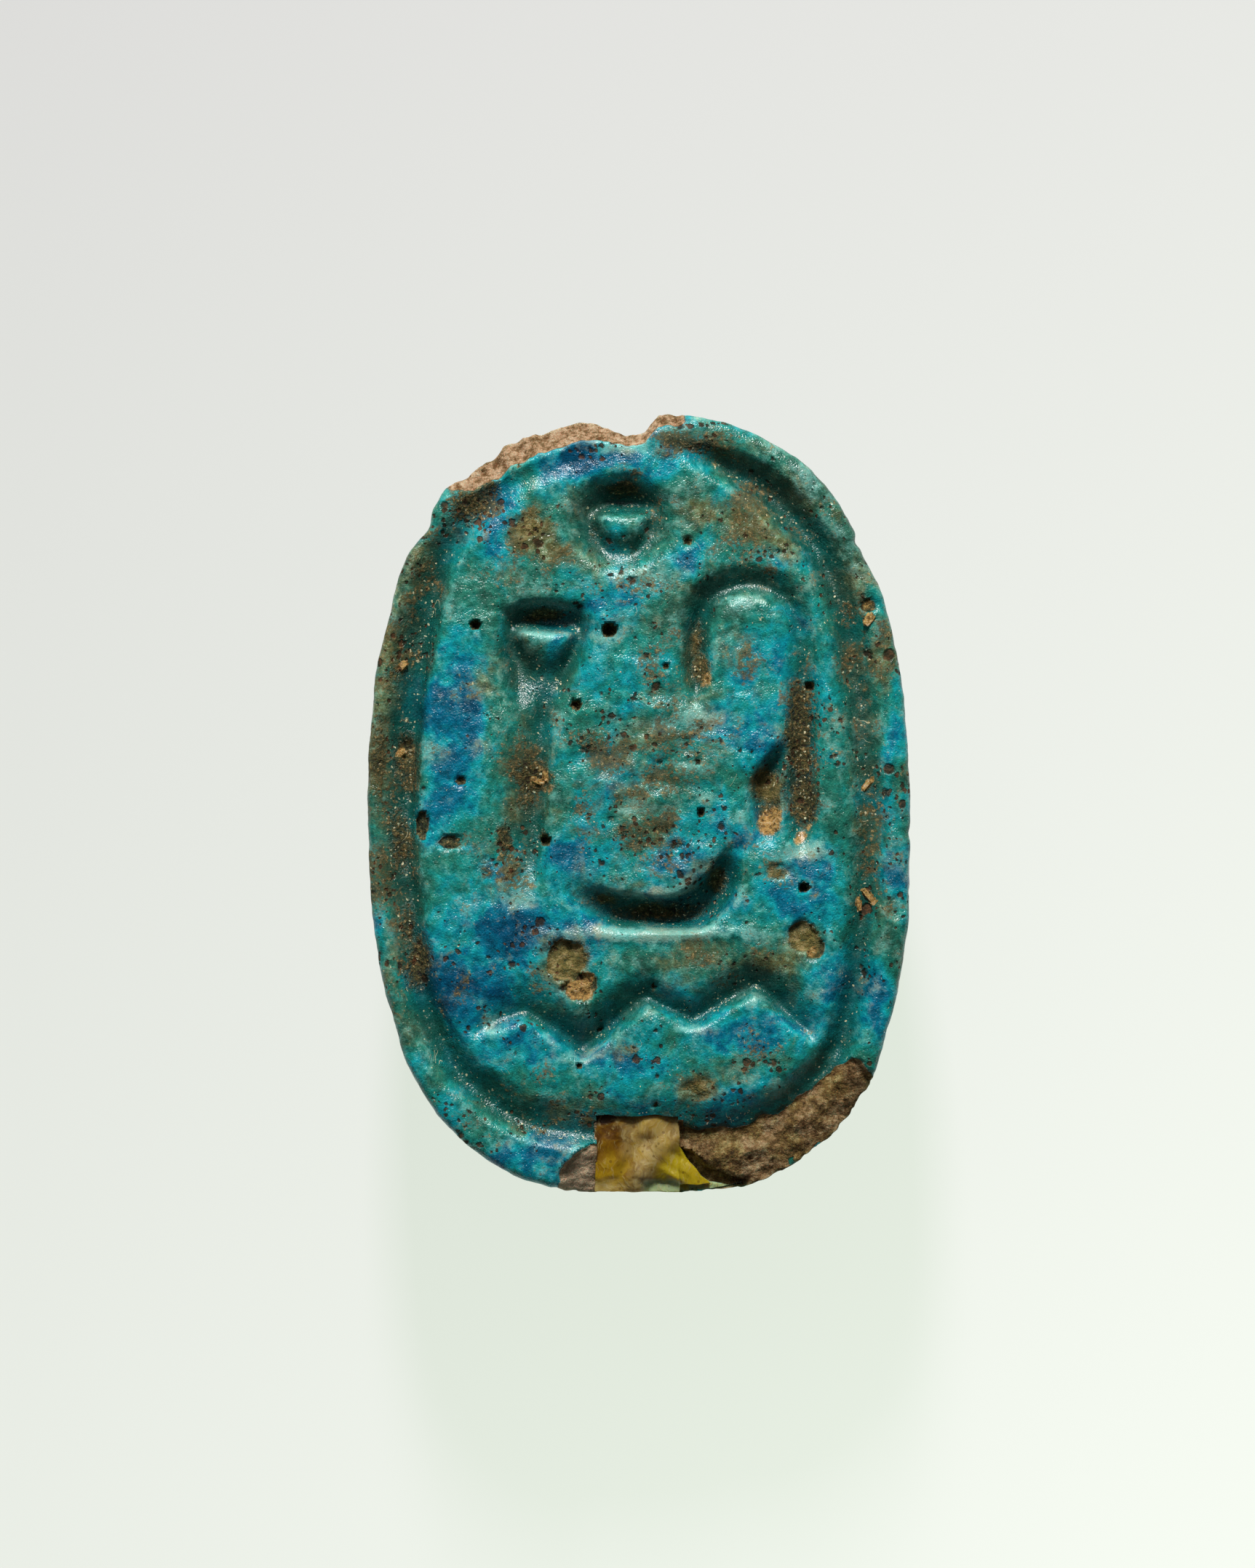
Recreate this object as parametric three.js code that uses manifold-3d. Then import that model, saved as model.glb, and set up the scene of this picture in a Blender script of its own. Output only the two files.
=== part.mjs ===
// A small scarab amulet of blue-green glazed composition, lying on its back with its seal face up.
// The beetle and its oval base plate are one fired body, pierced lengthwise by a string hole.
// A lump of old wax fills the broken tail end of that hole.
// Millimetres, +Z up: the beetle's crown rests on z = 0, the seal face looks up, the head points to +Y.
import * as THREE from "three";
import { mergeVertices } from "three/addons/utils/BufferGeometryUtils.js";
import Module from "manifold-3d";

// Driving sizes.
const LENGTH = 16.0;
const WIDTH = 11.1;
const HEIGHT = 6.8;
const PLATE_THICK = 1.35; // the flat plate that carries the seal face
const EDGE_ROUND = 0.24; // worn arris of the plate
const HEAD_FULLNESS = 2.4; // superellipse exponent of the plate's head half
const TAIL_FULLNESS = 2.75; // and of its squarer tail half
// How far the worn outline stands off the ideal oval every 15 degrees, from +X towards +Y.
const OUTLINE_WEAR = [
  0, -0.01, -0.04, 0.02, 0.04, 0.01, 0, -0.1, -0.11, 0.06, 0.02, 0,
  0, -0.05, -0.1, -0.08, -0.1, -0.04, 0, 0.06, 0.03, 0.09, 0, 0.02,
];
const OUTLINE_STEPS = 84;
const FINENESS = 0.004; // facets finer than this are merged after the cuts

// The carved border line, an oval a little nearer the head end than the plate's own oval.
const BORDER = { halfWidth: 4.76, halfLength: 6.93, centreY: 0.3, width: 0.84, depth: 0.36 };

// The string hole runs just under the plate.
const BORE = { radius: 0.75, z: 4.95 };
const SEAT = { left: -0.88, right: 0.86, headEnd: -6.4, floorZ: 4.75 }; // broken-out tail mouth
const LEDGE_Z = 6.05; // a step right of the mouth, where the wax has run over the break
const PLUG_GAP = 0.05; // clearance round the wax
const PLUG_SINK = 0.42; // the wax stands this far below the face at its head end
const SMEAR_THICK = 0.3; // wax run over the step
const PLUG_DEPTH = 2.6; // reach of the wax stem into the hole

// The beetle's back, from superellipsoids: where each sits and how full its plan and profile are.
const FLANK = { y: -1.35, z: 5.5, half: [4.93, 6.05, 2.75], plan: 2.5, profile: 3.2 };
const NECK = { y: 4.4, z: 5.5, half: [3.75, 3.05, 1.35], plan: 2.3, profile: 3.2 };
const WING_CASES = { y: -2.3, z: 3.5, half: [4.85, 5.3, 3.6], plan: 2.5, profile: 2.3 };
const THORAX = { y: 2.3, z: 3.3, half: [4.5, 2.5, 3.34], plan: 2.6, profile: 2.3 };
const HEAD = { y: 4.75, z: 4.3, half: [2.2, 1.65, 2.2], plan: 2.4, profile: 2.5 };
const BROW = { y: 6.15, z: 4.75, half: [1.95, 1.4, 1.25], plan: 2.2, profile: 2.6 };
const EYE = { x: 2.1, y: 5.0, z: 3.75, radius: 0.55 };
const LEG_RADIUS = 0.42;
// Each leg runs from the back towards the plate.
const LEG_PATHS = [
  [[4.35, 3.1, 3.5], [4.1, 4.5, 4.1], [3.4, 5.9, 4.8], [2.6, 6.75, 5.2]], // fore
  [[4.75, 1.9, 3.3], [5.0, 0.4, 3.9], [5.04, -1.2, 4.65], [4.95, -2.2, 5.2]], // middle
  [[4.9, -2.0, 3.2], [4.9, -3.5, 3.8], [4.4, -5.3, 4.65], [3.5, -6.4, 5.2]], // hind
];
const BOSS_SINK = 0.1; // the bosses stand this far below the face
const LINE = { width: 0.24, depth: 0.13 }; // engraved lines on the back

const HALF_WIDTH = WIDTH / 2;
const HALF_LENGTH = LENGTH / 2;
const PLATE_UNDER = HEIGHT - PLATE_THICK;
const MARGIN = 2; // how far a cutter stands clear of the surface that it cuts

const wasm = await Module();
wasm.setup();

// A closed geometry as a manifold-3d solid.
function solid(geometry) {
  const bare = geometry.clone();
  bare.deleteAttribute("normal");
  bare.deleteAttribute("uv");
  const merged = mergeVertices(bare, 1e-5);
  return new wasm.Manifold(
    new wasm.Mesh({
      numProp: 3,
      vertProperties: merged.attributes.position.array,
      triVerts: new Uint32Array(merged.index.array),
    }),
  );
}

// A manifold-3d solid as a three.js mesh with its own name and material.
function namedMesh(name, made, material) {
  const { vertProperties, triVerts } = made.getMesh();
  const geometry = new THREE.BufferGeometry();
  geometry.setAttribute("position", new THREE.BufferAttribute(vertProperties, 3));
  geometry.setIndex(new THREE.BufferAttribute(triVerts, 1));
  geometry.computeVertexNormals();
  const mesh = new THREE.Mesh(geometry, material);
  mesh.name = name;
  return mesh;
}

const signedPower = (value, power) => Math.sign(value) * Math.abs(value) ** power;

// The outline's wear at an angle, between its table's entries.
function wearAt(angle) {
  const place = THREE.MathUtils.euclideanModulo((angle / (2 * Math.PI)) * OUTLINE_WEAR.length, OUTLINE_WEAR.length);
  const before = Math.floor(place) % OUTLINE_WEAR.length;
  const after = (before + 1) % OUTLINE_WEAR.length;
  return THREE.MathUtils.lerp(OUTLINE_WEAR[before], OUTLINE_WEAR[after], THREE.MathUtils.smoothstep(place - before, 0, 1));
}

// A point of the plate's worn oval at an angle, with its half sizes reduced by an inset.
function ovalPoint(angle, inset = 0, halfWidth = HALF_WIDTH, halfLength = HALF_LENGTH, centreY = 0) {
  const fullness = Math.sin(angle) > 0 ? HEAD_FULLNESS : TAIL_FULLNESS;
  const wear = wearAt(angle);
  return new THREE.Vector2(
    (halfWidth - inset + wear) * signedPower(Math.cos(angle), 2 / fullness),
    centreY + (halfLength - inset + wear) * signedPower(Math.sin(angle), 2 / fullness),
  );
}

function ovalShape(inset) {
  const points = [];
  for (let i = 0; i < OUTLINE_STEPS; i++) {
    points.push(ovalPoint((2 * Math.PI * i) / OUTLINE_STEPS, inset));
  }
  return new THREE.Shape(points);
}

const addAll = (parts) => parts.reduce((whole, part) => whole.add(part));

// A box between two corners.
function box(low, high) {
  const size = high.map((value, i) => value - low[i]);
  const centre = high.map((value, i) => (value + low[i]) / 2);
  return solid(new THREE.BoxGeometry(...size).translate(...centre));
}

// A superellipsoid: a sphere whose plan and profile are filled out by their exponents.
function superEllipsoid({ y, z, half, plan, profile }, across = 36, down = 18) {
  const geometry = new THREE.SphereGeometry(1, across, down).rotateX(Math.PI / 2);
  const position = geometry.attributes.position;
  for (let i = 0; i < position.count; i++) {
    const turn = Math.atan2(position.getY(i), position.getX(i));
    const lift = Math.asin(THREE.MathUtils.clamp(position.getZ(i), -1, 1));
    const reach = signedPower(Math.cos(lift), 2 / profile);
    position.setXYZ(
      i,
      half[0] * reach * signedPower(Math.cos(turn), 2 / plan),
      y + half[1] * reach * signedPower(Math.sin(turn), 2 / plan),
      z + half[2] * signedPower(Math.sin(lift), 2 / profile),
    );
  }
  return solid(geometry);
}

// The radius and axis height of the round section that leaves a channel of this width and depth.
function gougeSection(width, depth) {
  const radius = (width ** 2 / 4 + depth ** 2) / (2 * depth);
  return { radius, rise: radius - depth };
}

// A tube along points, thick enough to be a gouge or a raised leg, with a ball at each end that is bare.
function roundTube(points, radius, steps, sides = 8, bareEnds = [0, -1]) {
  const outline = new THREE.Shape();
  outline.absarc(0, 0, radius, 0, 2 * Math.PI);
  const tube = new THREE.ExtrudeGeometry(outline, {
    extrudePath: new THREE.CatmullRomCurve3(points),
    steps,
    curveSegments: sides / 2,
    bevelEnabled: false,
  });
  const balls = bareEnds.map((end) => {
    const { x, y, z } = points.at(end);
    return solid(new THREE.SphereGeometry(radius * 0.98, sides, 6).translate(x, y, z));
  });
  return addAll([solid(tube), ...balls]);
}

// A gouged stroke in the seal face, through plan points [x, y]: sloping walls and a rounded floor.
function faceStroke(points, width, depth, steps) {
  const wall = [
    new THREE.Vector2(depth, 0),
    new THREE.Vector2(0.68 * depth, 0.3 * width),
    new THREE.Vector2(0, 0.5 * width),
    new THREE.Vector2(-MARGIN, 0.5 * width),
  ];
  const otherWall = wall.slice(1).map(({ x, y }) => new THREE.Vector2(x, -y));
  const path = points.map(([x, y]) => new THREE.Vector3(x, y, HEIGHT));
  const channel = new THREE.ExtrudeGeometry(new THREE.Shape([...wall, ...otherWall.reverse()]), {
    extrudePath: new THREE.CatmullRomCurve3(path),
    steps,
    bevelEnabled: false,
  });
  const endProfile = [...wall.map(({ x, y }) => new THREE.Vector2(y * 0.995, -x)), new THREE.Vector2(0, MARGIN)];
  const ends = [path[0], path.at(-1)].map((end) =>
    solid(new THREE.LatheGeometry(endProfile, 10).rotateX(Math.PI / 2).translate(end.x, end.y, end.z)),
  );
  return addAll([solid(channel), ...ends]);
}

// Plan points along an elliptical arc, angles in degrees.
function arcPoints(centreX, centreY, radiusX, radiusY, from, to, count) {
  const points = [];
  for (let i = 0; i < count; i++) {
    const angle = THREE.MathUtils.degToRad(from + ((to - from) * i) / (count - 1));
    points.push([centreX + radiusX * Math.cos(angle), centreY + radiusY * Math.sin(angle)]);
  }
  return points;
}

// A hollow in the seal face, with a wedge-shaped boss left standing in it that narrows to the tail.
function bossedHollow(centre, half, depth, boss) {
  const hollow = new THREE.SphereGeometry(1, 18, 10)
    .rotateX(Math.PI / 2)
    .scale(...half, depth)
    .translate(...centre, HEIGHT);
  const wedge = new THREE.Shape(boss.map(([x, y]) => new THREE.Vector2(x, y)));
  const left = new THREE.ExtrudeGeometry(wedge, {
    depth: depth - BOSS_SINK,
    bevelSize: 0.16,
    bevelThickness: 0.22,
    bevelSegments: 1,
    bevelOffset: -0.08,
  }).translate(0, 0, HEIGHT - depth - 0.22 - 0.02);
  return solid(hollow).subtract(solid(left));
}

// The marks of the seal face: four rows of plain strokes that spell nothing.
function faceMarks() {
  const stem = [[-1.35, 3.0], [-1.95, 2.2], [-2.28, 1.2], [-2.33, -1.2]];
  const stemBranch = [[-2.75, 3.3], [-2.62, 2.3], [-2.45, 1.4]];
  const arch = arcPoints(2.25, 3.6, 1.07, 0.92, 150, 15, 6);
  const hook = [[1.17, 2.5], [1.17, 3.4], ...arch, [3.34, 2.6], [3.34, -0.4]];
  const hookLobe = [[2.98, 0.8], [2.68, 0.3], [2.62, -0.4]];
  const bowl = [[-0.8, -2.0], [0.1, -2.22], [1.0, -2.15], [1.5, -1.85], [1.72, -1.45]];
  const bowlThick = bowl.slice(2);
  const zigzag = [[-3.15, -4.5], [-2.3, -3.85], [-1.15, -4.72], [0.2, -3.62], [1.12, -4.22], [2.4, -3.42], [3.45, -4.4]];
  const strokes = [
    bossedHollow([-0.37, 5.8], [1.12, 1.0], 0.5, [[-0.78, 5.93], [0.18, 5.93], [-0.12, 5.2], [-0.5, 5.2]]),
    bossedHollow([-1.86, 3.25], [0.98, 0.95], 0.46, [[-2.42, 3.5], [-1.42, 3.5], [-1.78, 2.8], [-2.06, 2.8]]),
    faceStroke(stem, 0.9, 0.3, 8),
    faceStroke(stemBranch, 0.45, 0.2, 5),
    faceStroke(hook, 0.7, 0.38, 20),
    faceStroke(hookLobe, 0.66, 0.36, 4),
    faceStroke(bowl, 0.56, 0.5, 10),
    faceStroke(bowlThick, 0.76, 0.5, 5),
  ];
  for (let i = 1; i < zigzag.length; i++) {
    strokes.push(faceStroke([zigzag[i - 1], zigzag[i]], 0.64, 0.42, 1));
  }
  return strokes;
}

// The border line: a torus whose ring is drawn out to an oval.
function borderLine() {
  const { radius, rise } = gougeSection(BORDER.width, BORDER.depth);
  const geometry = new THREE.TorusGeometry(1, radius / 10, 8, 64);
  const position = geometry.attributes.position;
  for (let i = 0; i < position.count; i++) {
    const x = position.getX(i);
    const y = position.getY(i);
    const angle = Math.atan2(y, x);
    const outward = (Math.hypot(x, y) - 1) * 10;
    const ring = ovalPoint(angle, 0, BORDER.halfWidth, BORDER.halfLength, BORDER.centreY);
    const ahead = ovalPoint(angle + 1e-3, 0, BORDER.halfWidth, BORDER.halfLength, BORDER.centreY);
    const tangent = ahead.sub(ring).normalize();
    position.setXYZ(
      i,
      ring.x + outward * tangent.y,
      ring.y - outward * tangent.x,
      HEIGHT + rise + position.getZ(i) * 10,
    );
  }
  return solid(geometry);
}

// A broken stretch of the plate's arris: faceted bites along the oval, between two angles in degrees.
function arrisBreak(from, to, count, radius, inset, lift) {
  const bites = [];
  for (let i = 0; i < count; i++) {
    const angle = THREE.MathUtils.degToRad(from + ((to - from) * i) / (count - 1));
    const sway = Math.sin(i * 2.4 + from); // uneven, but the same each time
    const { x, y } = ovalPoint(angle, inset + 0.12 * sway);
    const bite = new THREE.IcosahedronGeometry(radius * (1 + 0.15 * sway), 0)
      .rotateZ(i * 0.9)
      .rotateX(i * 0.5)
      .translate(x, y, HEIGHT + lift);
    bites.push(solid(bite));
  }
  return bites;
}

// What time has broken off the plate.
function breaks() {
  const notch = new THREE.Shape([
    new THREE.Vector2(-1.1, HALF_LENGTH + MARGIN),
    new THREE.Vector2(-1.0, 7.86),
    new THREE.Vector2(-0.5, 7.62),
    new THREE.Vector2(-0.2, 7.5),
    new THREE.Vector2(0.12, 7.62),
    new THREE.Vector2(0.5, 7.97),
    new THREE.Vector2(0.6, HALF_LENGTH + MARGIN),
  ]);
  const headNotch = solid(
    new THREE.ExtrudeGeometry(notch, { depth: PLATE_THICK + MARGIN, bevelEnabled: false }),
  ).translate([0, 0, PLATE_UNDER]);
  const ledge = new THREE.ExtrudeGeometry(new THREE.Shape(ledgeOutline(0)), {
    depth: MARGIN,
    bevelEnabled: false,
  }).translate(0, 0, LEDGE_Z);
  return [
    headNotch,
    solid(ledge),
    ...arrisBreak(98, 121, 8, 0.6, 0.1, 0.28), // head end, left of the notch
    ...arrisBreak(76, 84, 3, 0.5, 0.12, 0.28), // and right of it
    ...arrisBreak(-74, -40, 10, 0.85, 0.42, 0.55), // tail end, right of the wax
    ...arrisBreak(-101, -98, 2, 0.75, 0.4, 0.5), // and left of it
  ];
}

// The plan of the step right of the wax, with its inner edges moved outward by a clearance.
function ledgeOutline(clearance) {
  return [
    new THREE.Vector2(SEAT.right - 0.3, -6.95 - clearance),
    new THREE.Vector2(SEAT.right + 0.25, -7.1 - clearance),
    new THREE.Vector2(SEAT.right + 0.6, -7.45 - clearance),
    new THREE.Vector2(2.25 - clearance, -7.68 - clearance),
    new THREE.Vector2(2.3 - clearance, -HALF_LENGTH - (clearance > 0 ? 0 : MARGIN)),
    new THREE.Vector2(SEAT.right - 0.3, -HALF_LENGTH - (clearance > 0 ? 0 : MARGIN)),
  ];
}

// Three legs on each side, as ridges that slant along the flank.
function legs() {
  return [1, -1].flatMap((side) =>
    LEG_PATHS.map((path) =>
      roundTube(path.map(([x, y, z]) => new THREE.Vector3(side * x, y, z)), LEG_RADIUS, 5, 8, [0]),
    ),
  );
}

// The depth of the back below an ellipsoid's centre, at a plan point: where a line on the back runs.
function backZ({ y: centreY, z: centreZ, half, plan, profile }, x, y) {
  const reach = (Math.abs(x / half[0]) ** plan + Math.abs((y - centreY) / half[1]) ** plan) ** (1 / plan);
  return centreZ - half[2] * (1 - Math.min(reach, 0.999) ** profile) ** (1 / profile);
}

// The engraved line between the wing cases, and the notch at each shoulder.
function backLines() {
  const { radius, rise } = gougeSection(LINE.width, LINE.depth);
  const onBack = (form, x, y) => new THREE.Vector3(x, y, backZ(form, x, y) - rise);
  const seam = [];
  for (let i = 0; i <= 8; i++) seam.push(onBack(WING_CASES, 0, 0.6 - 1.0 * i));
  const shoulders = [1, -1].map((side) => {
    const notch = [0, 1, 2].map((i) => onBack(WING_CASES, side * (3.5 - 0.45 * i), 0.5 - 0.42 * i));
    return roundTube(notch, radius * 1.5, 3, 6);
  });
  return [roundTube(seam, radius, 9, 6), ...shoulders];
}

// The teeth along the front of the beetle's brow.
function browTeeth() {
  return [-0.62, 0, 0.62].map((x) =>
    solid(
      new THREE.CylinderGeometry(0.16, 0.16, 3, 8)
        .rotateX(Math.PI / 2)
        .rotateX(0.5)
        .translate(x, BROW.y + BROW.half[1] + 0.1, BROW.z - BROW.half[2] + 0.35),
    ),
  );
}

function scarabBody() {
  const plate = solid(
    new THREE.ExtrudeGeometry(ovalShape(EDGE_ROUND), {
      depth: PLATE_THICK - 2 * EDGE_ROUND,
      bevelSize: EDGE_ROUND,
      bevelThickness: EDGE_ROUND,
      bevelSegments: 2,
    }).translate(0, 0, PLATE_UNDER + EDGE_ROUND),
  );
  const eyes = [1, -1].map((side) =>
    solid(new THREE.SphereGeometry(EYE.radius, 12, 8).translate(side * EYE.x, EYE.y, EYE.z)),
  );
  const beetle = addAll([
    superEllipsoid(FLANK, 36, 12),
    superEllipsoid(NECK, 24, 10),
    superEllipsoid(WING_CASES),
    superEllipsoid(THORAX, 32, 16),
    superEllipsoid(HEAD, 18, 12),
    superEllipsoid(BROW, 18, 10),
    ...eyes,
    ...legs(),
  ]);
  const aboveTable = box([-WIDTH, -LENGTH, 0], [WIDTH, LENGTH, PLATE_UNDER + EDGE_ROUND]);
  const whole = plate.add(beetle.intersect(aboveTable));
  const bore = solid(
    new THREE.CylinderGeometry(BORE.radius, BORE.radius, LENGTH + MARGIN, 20).translate(0, 0, BORE.z),
  );
  const seat = box(
    [SEAT.left, -HALF_LENGTH - MARGIN, SEAT.floorZ],
    [SEAT.right, SEAT.headEnd, HEIGHT + MARGIN],
  );
  const cuts = addAll([bore, seat, borderLine(), ...faceMarks(), ...breaks(), ...backLines(), ...browTeeth()]);
  return whole.subtract(cuts).simplify(FINENESS);
}

// The wax: a lump that rises towards the tail end, with a stem in the string hole.
function waxPlug() {
  const top = HEIGHT - PLUG_SINK;
  const tail = -HALF_LENGTH;
  const profile = new THREE.Shape([
    new THREE.Vector2(tail, SEAT.floorZ + PLUG_GAP),
    new THREE.Vector2(SEAT.headEnd - PLUG_GAP, SEAT.floorZ + PLUG_GAP),
    new THREE.Vector2(SEAT.headEnd - PLUG_GAP, top - 0.1),
    new THREE.Vector2(SEAT.headEnd - 0.3, top),
    new THREE.Vector2(-7.2, top + 0.22),
    new THREE.Vector2(-7.75, top + 0.05),
    new THREE.Vector2(tail, top - 0.45),
  ]);
  const width = SEAT.right - SEAT.left - 2 * PLUG_GAP;
  const lump = solid(
    new THREE.ExtrudeGeometry(profile, { depth: width, bevelEnabled: false })
      .rotateY(Math.PI / 2)
      .rotateX(Math.PI / 2)
      .translate(SEAT.left + PLUG_GAP, 0, 0),
  );
  const stemTail = SEAT.headEnd - 0.5;
  const stem = solid(
    new THREE.CylinderGeometry(BORE.radius - PLUG_GAP, BORE.radius - PLUG_GAP, PLUG_DEPTH + 0.5, 16).translate(
      0,
      stemTail + (PLUG_DEPTH + 0.5) / 2,
      BORE.z,
    ),
  );
  const smear = solid(
    new THREE.ExtrudeGeometry(new THREE.Shape(ledgeOutline(PLUG_GAP)), {
      depth: SMEAR_THICK,
      bevelEnabled: false,
    }).translate(0, 0, LEDGE_Z + PLUG_GAP),
  );
  const inPlate = new THREE.ExtrudeGeometry(ovalShape(PLUG_GAP), { depth: HEIGHT, bevelEnabled: false });
  return addAll([lump, stem, smear]).intersect(solid(inPlate));
}

const glaze = new THREE.MeshStandardMaterial({ color: 0x1f7f86, roughness: 0.3, metalness: 0 });
const wax = new THREE.MeshStandardMaterial({ color: 0x86712a, roughness: 0.45, metalness: 0 });

const amulet = new THREE.Group();
amulet.name = "scarab_amulet";
amulet.add(namedMesh("scarab_body", scarabBody(), glaze));
amulet.add(namedMesh("wax_plug", waxPlug(), wax));

export default amulet;
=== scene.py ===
"""A small scarab amulet of glazed composition, lying on its back with its carved seal face up.

Everything is modelled in millimetres and set down in metres at the end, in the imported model's own frame.
"""

import math

import bmesh
import bpy
import numpy as np
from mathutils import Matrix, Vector


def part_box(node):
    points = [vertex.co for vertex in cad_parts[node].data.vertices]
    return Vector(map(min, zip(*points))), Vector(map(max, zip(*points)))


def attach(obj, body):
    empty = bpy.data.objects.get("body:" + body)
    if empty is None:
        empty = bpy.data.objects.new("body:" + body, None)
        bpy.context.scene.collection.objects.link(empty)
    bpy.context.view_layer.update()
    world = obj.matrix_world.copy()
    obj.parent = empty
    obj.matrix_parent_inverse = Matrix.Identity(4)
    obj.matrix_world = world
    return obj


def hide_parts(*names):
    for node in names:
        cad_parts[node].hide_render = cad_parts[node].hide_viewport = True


bl_info = {
    "name": "Scarab Amulet",
    "version": (1, 0, 0),
    "blender": (4, 5, 0),
    "location": "3D View > Sidebar > Scarab",
    "description": "Models a carved and glazed scarab amulet with old wax in its string hole",
    "category": "Object",
}

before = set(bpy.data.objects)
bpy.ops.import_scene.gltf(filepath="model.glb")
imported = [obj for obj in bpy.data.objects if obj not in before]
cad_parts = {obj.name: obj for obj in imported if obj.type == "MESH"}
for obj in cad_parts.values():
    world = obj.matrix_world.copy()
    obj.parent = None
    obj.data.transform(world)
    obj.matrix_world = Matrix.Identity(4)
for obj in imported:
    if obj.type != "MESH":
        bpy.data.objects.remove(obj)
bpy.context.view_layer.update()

MM = 0.001
BODY_LOW, BODY_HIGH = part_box("scarab_body")
FACE_Z = BODY_HIGH[2] / MM
HALF_WIDTH = (BODY_HIGH[0] - BODY_LOW[0]) / MM / 2
HALF_LENGTH = 8.0
PLATE_THICK = 1.35
PLATE_UNDER = FACE_Z - PLATE_THICK
HEAD_FULL, TAIL_FULL = 2.4, 2.75  # superellipse exponents of the plate's head and tail halves
# How far the worn outline stands off the ideal oval, every 5 degrees from +X towards +Y.
OUTLINE_WEAR = np.array(
    [0, -0.03, -0.04, -0.01, -0.03, -0.03, -0.04, -0.09, -0.03, 0.02, 0.04, 0.06]
    + [0.04, 0.01, 0, 0.01, -0.01, 0, -0.02, -0.06, -0.09, -0.13, -0.05, -0.02]
    + [-0.11, -0.05, 0.12, 0.07, -0.04, 0.05, 0.02, -0.04, -0.02, -0.01, -0.04, -0.01]
    + [0, -0.05, -0.04, -0.06, -0.08, -0.11, -0.11, -0.07, -0.09, -0.08, -0.08, -0.08]
    + [-0.1, -0.09, -0.06, -0.04, -0.01, -0.02, -0.04, 0.01, 0.03, 0.07, 0.03, 0.02]
    + [0.03, 0.06, 0.08, 0.09, 0.12, 0.06, 0, 0.01, 0.01, 0.02, 0.03, 0]
)
CARVING_SOFT = 0.05  # radius to which the carving has been rounded over
ARRIS = 0.22  # radius of the plate's worn edge
# The grid of points that charts of the seal face are drawn on.
CHART_STEP = 0.04
CHART_X = np.arange(-5.9, 5.9, CHART_STEP)
CHART_Y = np.arange(-8.3, 8.3, CHART_STEP)


# ---------------------------------------------------------------- small mathematics


def ease(low, high, value):
    """0 below low, 1 above high, smooth between; low may be the larger."""
    share = np.clip((value - low) / (high - low), 0.0, 1.0)
    return share * share * (3.0 - 2.0 * share)


def bell(away, width):
    """1 at no distance, falling off as a bell of this width."""
    return np.exp(-((away / width) ** 2))


def soft_spot(x, y, spots):
    """The strongest of round soft spots (x, y, radius x, radius y, strength) at each point."""
    out = np.zeros_like(x)
    for sx, sy, rx, ry, strength in spots:
        out = np.maximum(out, strength * np.exp(-(((x - sx) / rx) ** 2 + ((y - sy) / ry) ** 2)))
    return out


_lattices = {}


def lattice_noise(x, y, z, scale, seed):
    """Smooth gradient noise in about -1 to 1, with features of 1 / scale."""
    if seed not in _lattices:
        draw = np.random.RandomState(seed)
        table = draw.permutation(256)
        slopes = draw.normal(size=(256, 3))
        slopes /= np.linalg.norm(slopes, axis=1)[:, None]
        _lattices[seed] = (np.concatenate([table, table]), slopes)
    table, slopes = _lattices[seed]
    px, py, pz = x * scale, y * scale, z * scale
    ix, iy, iz = (np.floor(v).astype(int) for v in (px, py, pz))
    fx, fy, fz = px - ix, py - iy, pz - iz
    wx, wy, wz = (f * f * f * (f * (f * 6 - 15) + 10) for f in (fx, fy, fz))
    total = 0.0
    for dx in (0, 1):
        for dy in (0, 1):
            for dz in (0, 1):
                key = table[(table[(table[(ix + dx) & 255] + iy + dy) & 255] + iz + dz) & 255]
                slope = slopes[key]
                dot = slope[..., 0] * (fx - dx) + slope[..., 1] * (fy - dy) + slope[..., 2] * (fz - dz)
                weight = (wx if dx else 1 - wx) * (wy if dy else 1 - wy) * (wz if dz else 1 - wz)
                total = total + weight * dot
    return total * 1.6


def layered_noise(x, y, z, scale, seed, layers=3, gain=0.5):
    """Several octaves of lattice noise."""
    total, size = 0.0, 1.0
    for i in range(layers):
        total = total + size * lattice_noise(x, y, z, scale * 2.03**i, seed + i)
        size *= gain
    return total


def flat_noise(x, y, scale, seed, layers=3, gain=0.5):
    """Layered noise at height 0."""
    return layered_noise(x, y, 0 * x, scale, seed, layers, gain)


def spline_through(rows, steps):
    """Rows of numbers resampled on a Catmull-Rom curve, so widths and depths run along with places."""
    rows = np.asarray(rows, float)
    padded = np.vstack([2 * rows[0] - rows[1], rows, 2 * rows[-1] - rows[-2]])
    out = []
    for i in range(len(rows) - 1):
        a, b, c, d = padded[i : i + 4]
        for t in np.arange(steps) / steps:
            out.append(
                0.5 * (2 * b + (c - a) * t + (2 * a - 5 * b + 4 * c - d) * t**2 + (3 * b - a - 3 * c + d) * t**3)
            )
    out.append(rows[-1])
    return np.array(out)


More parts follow.
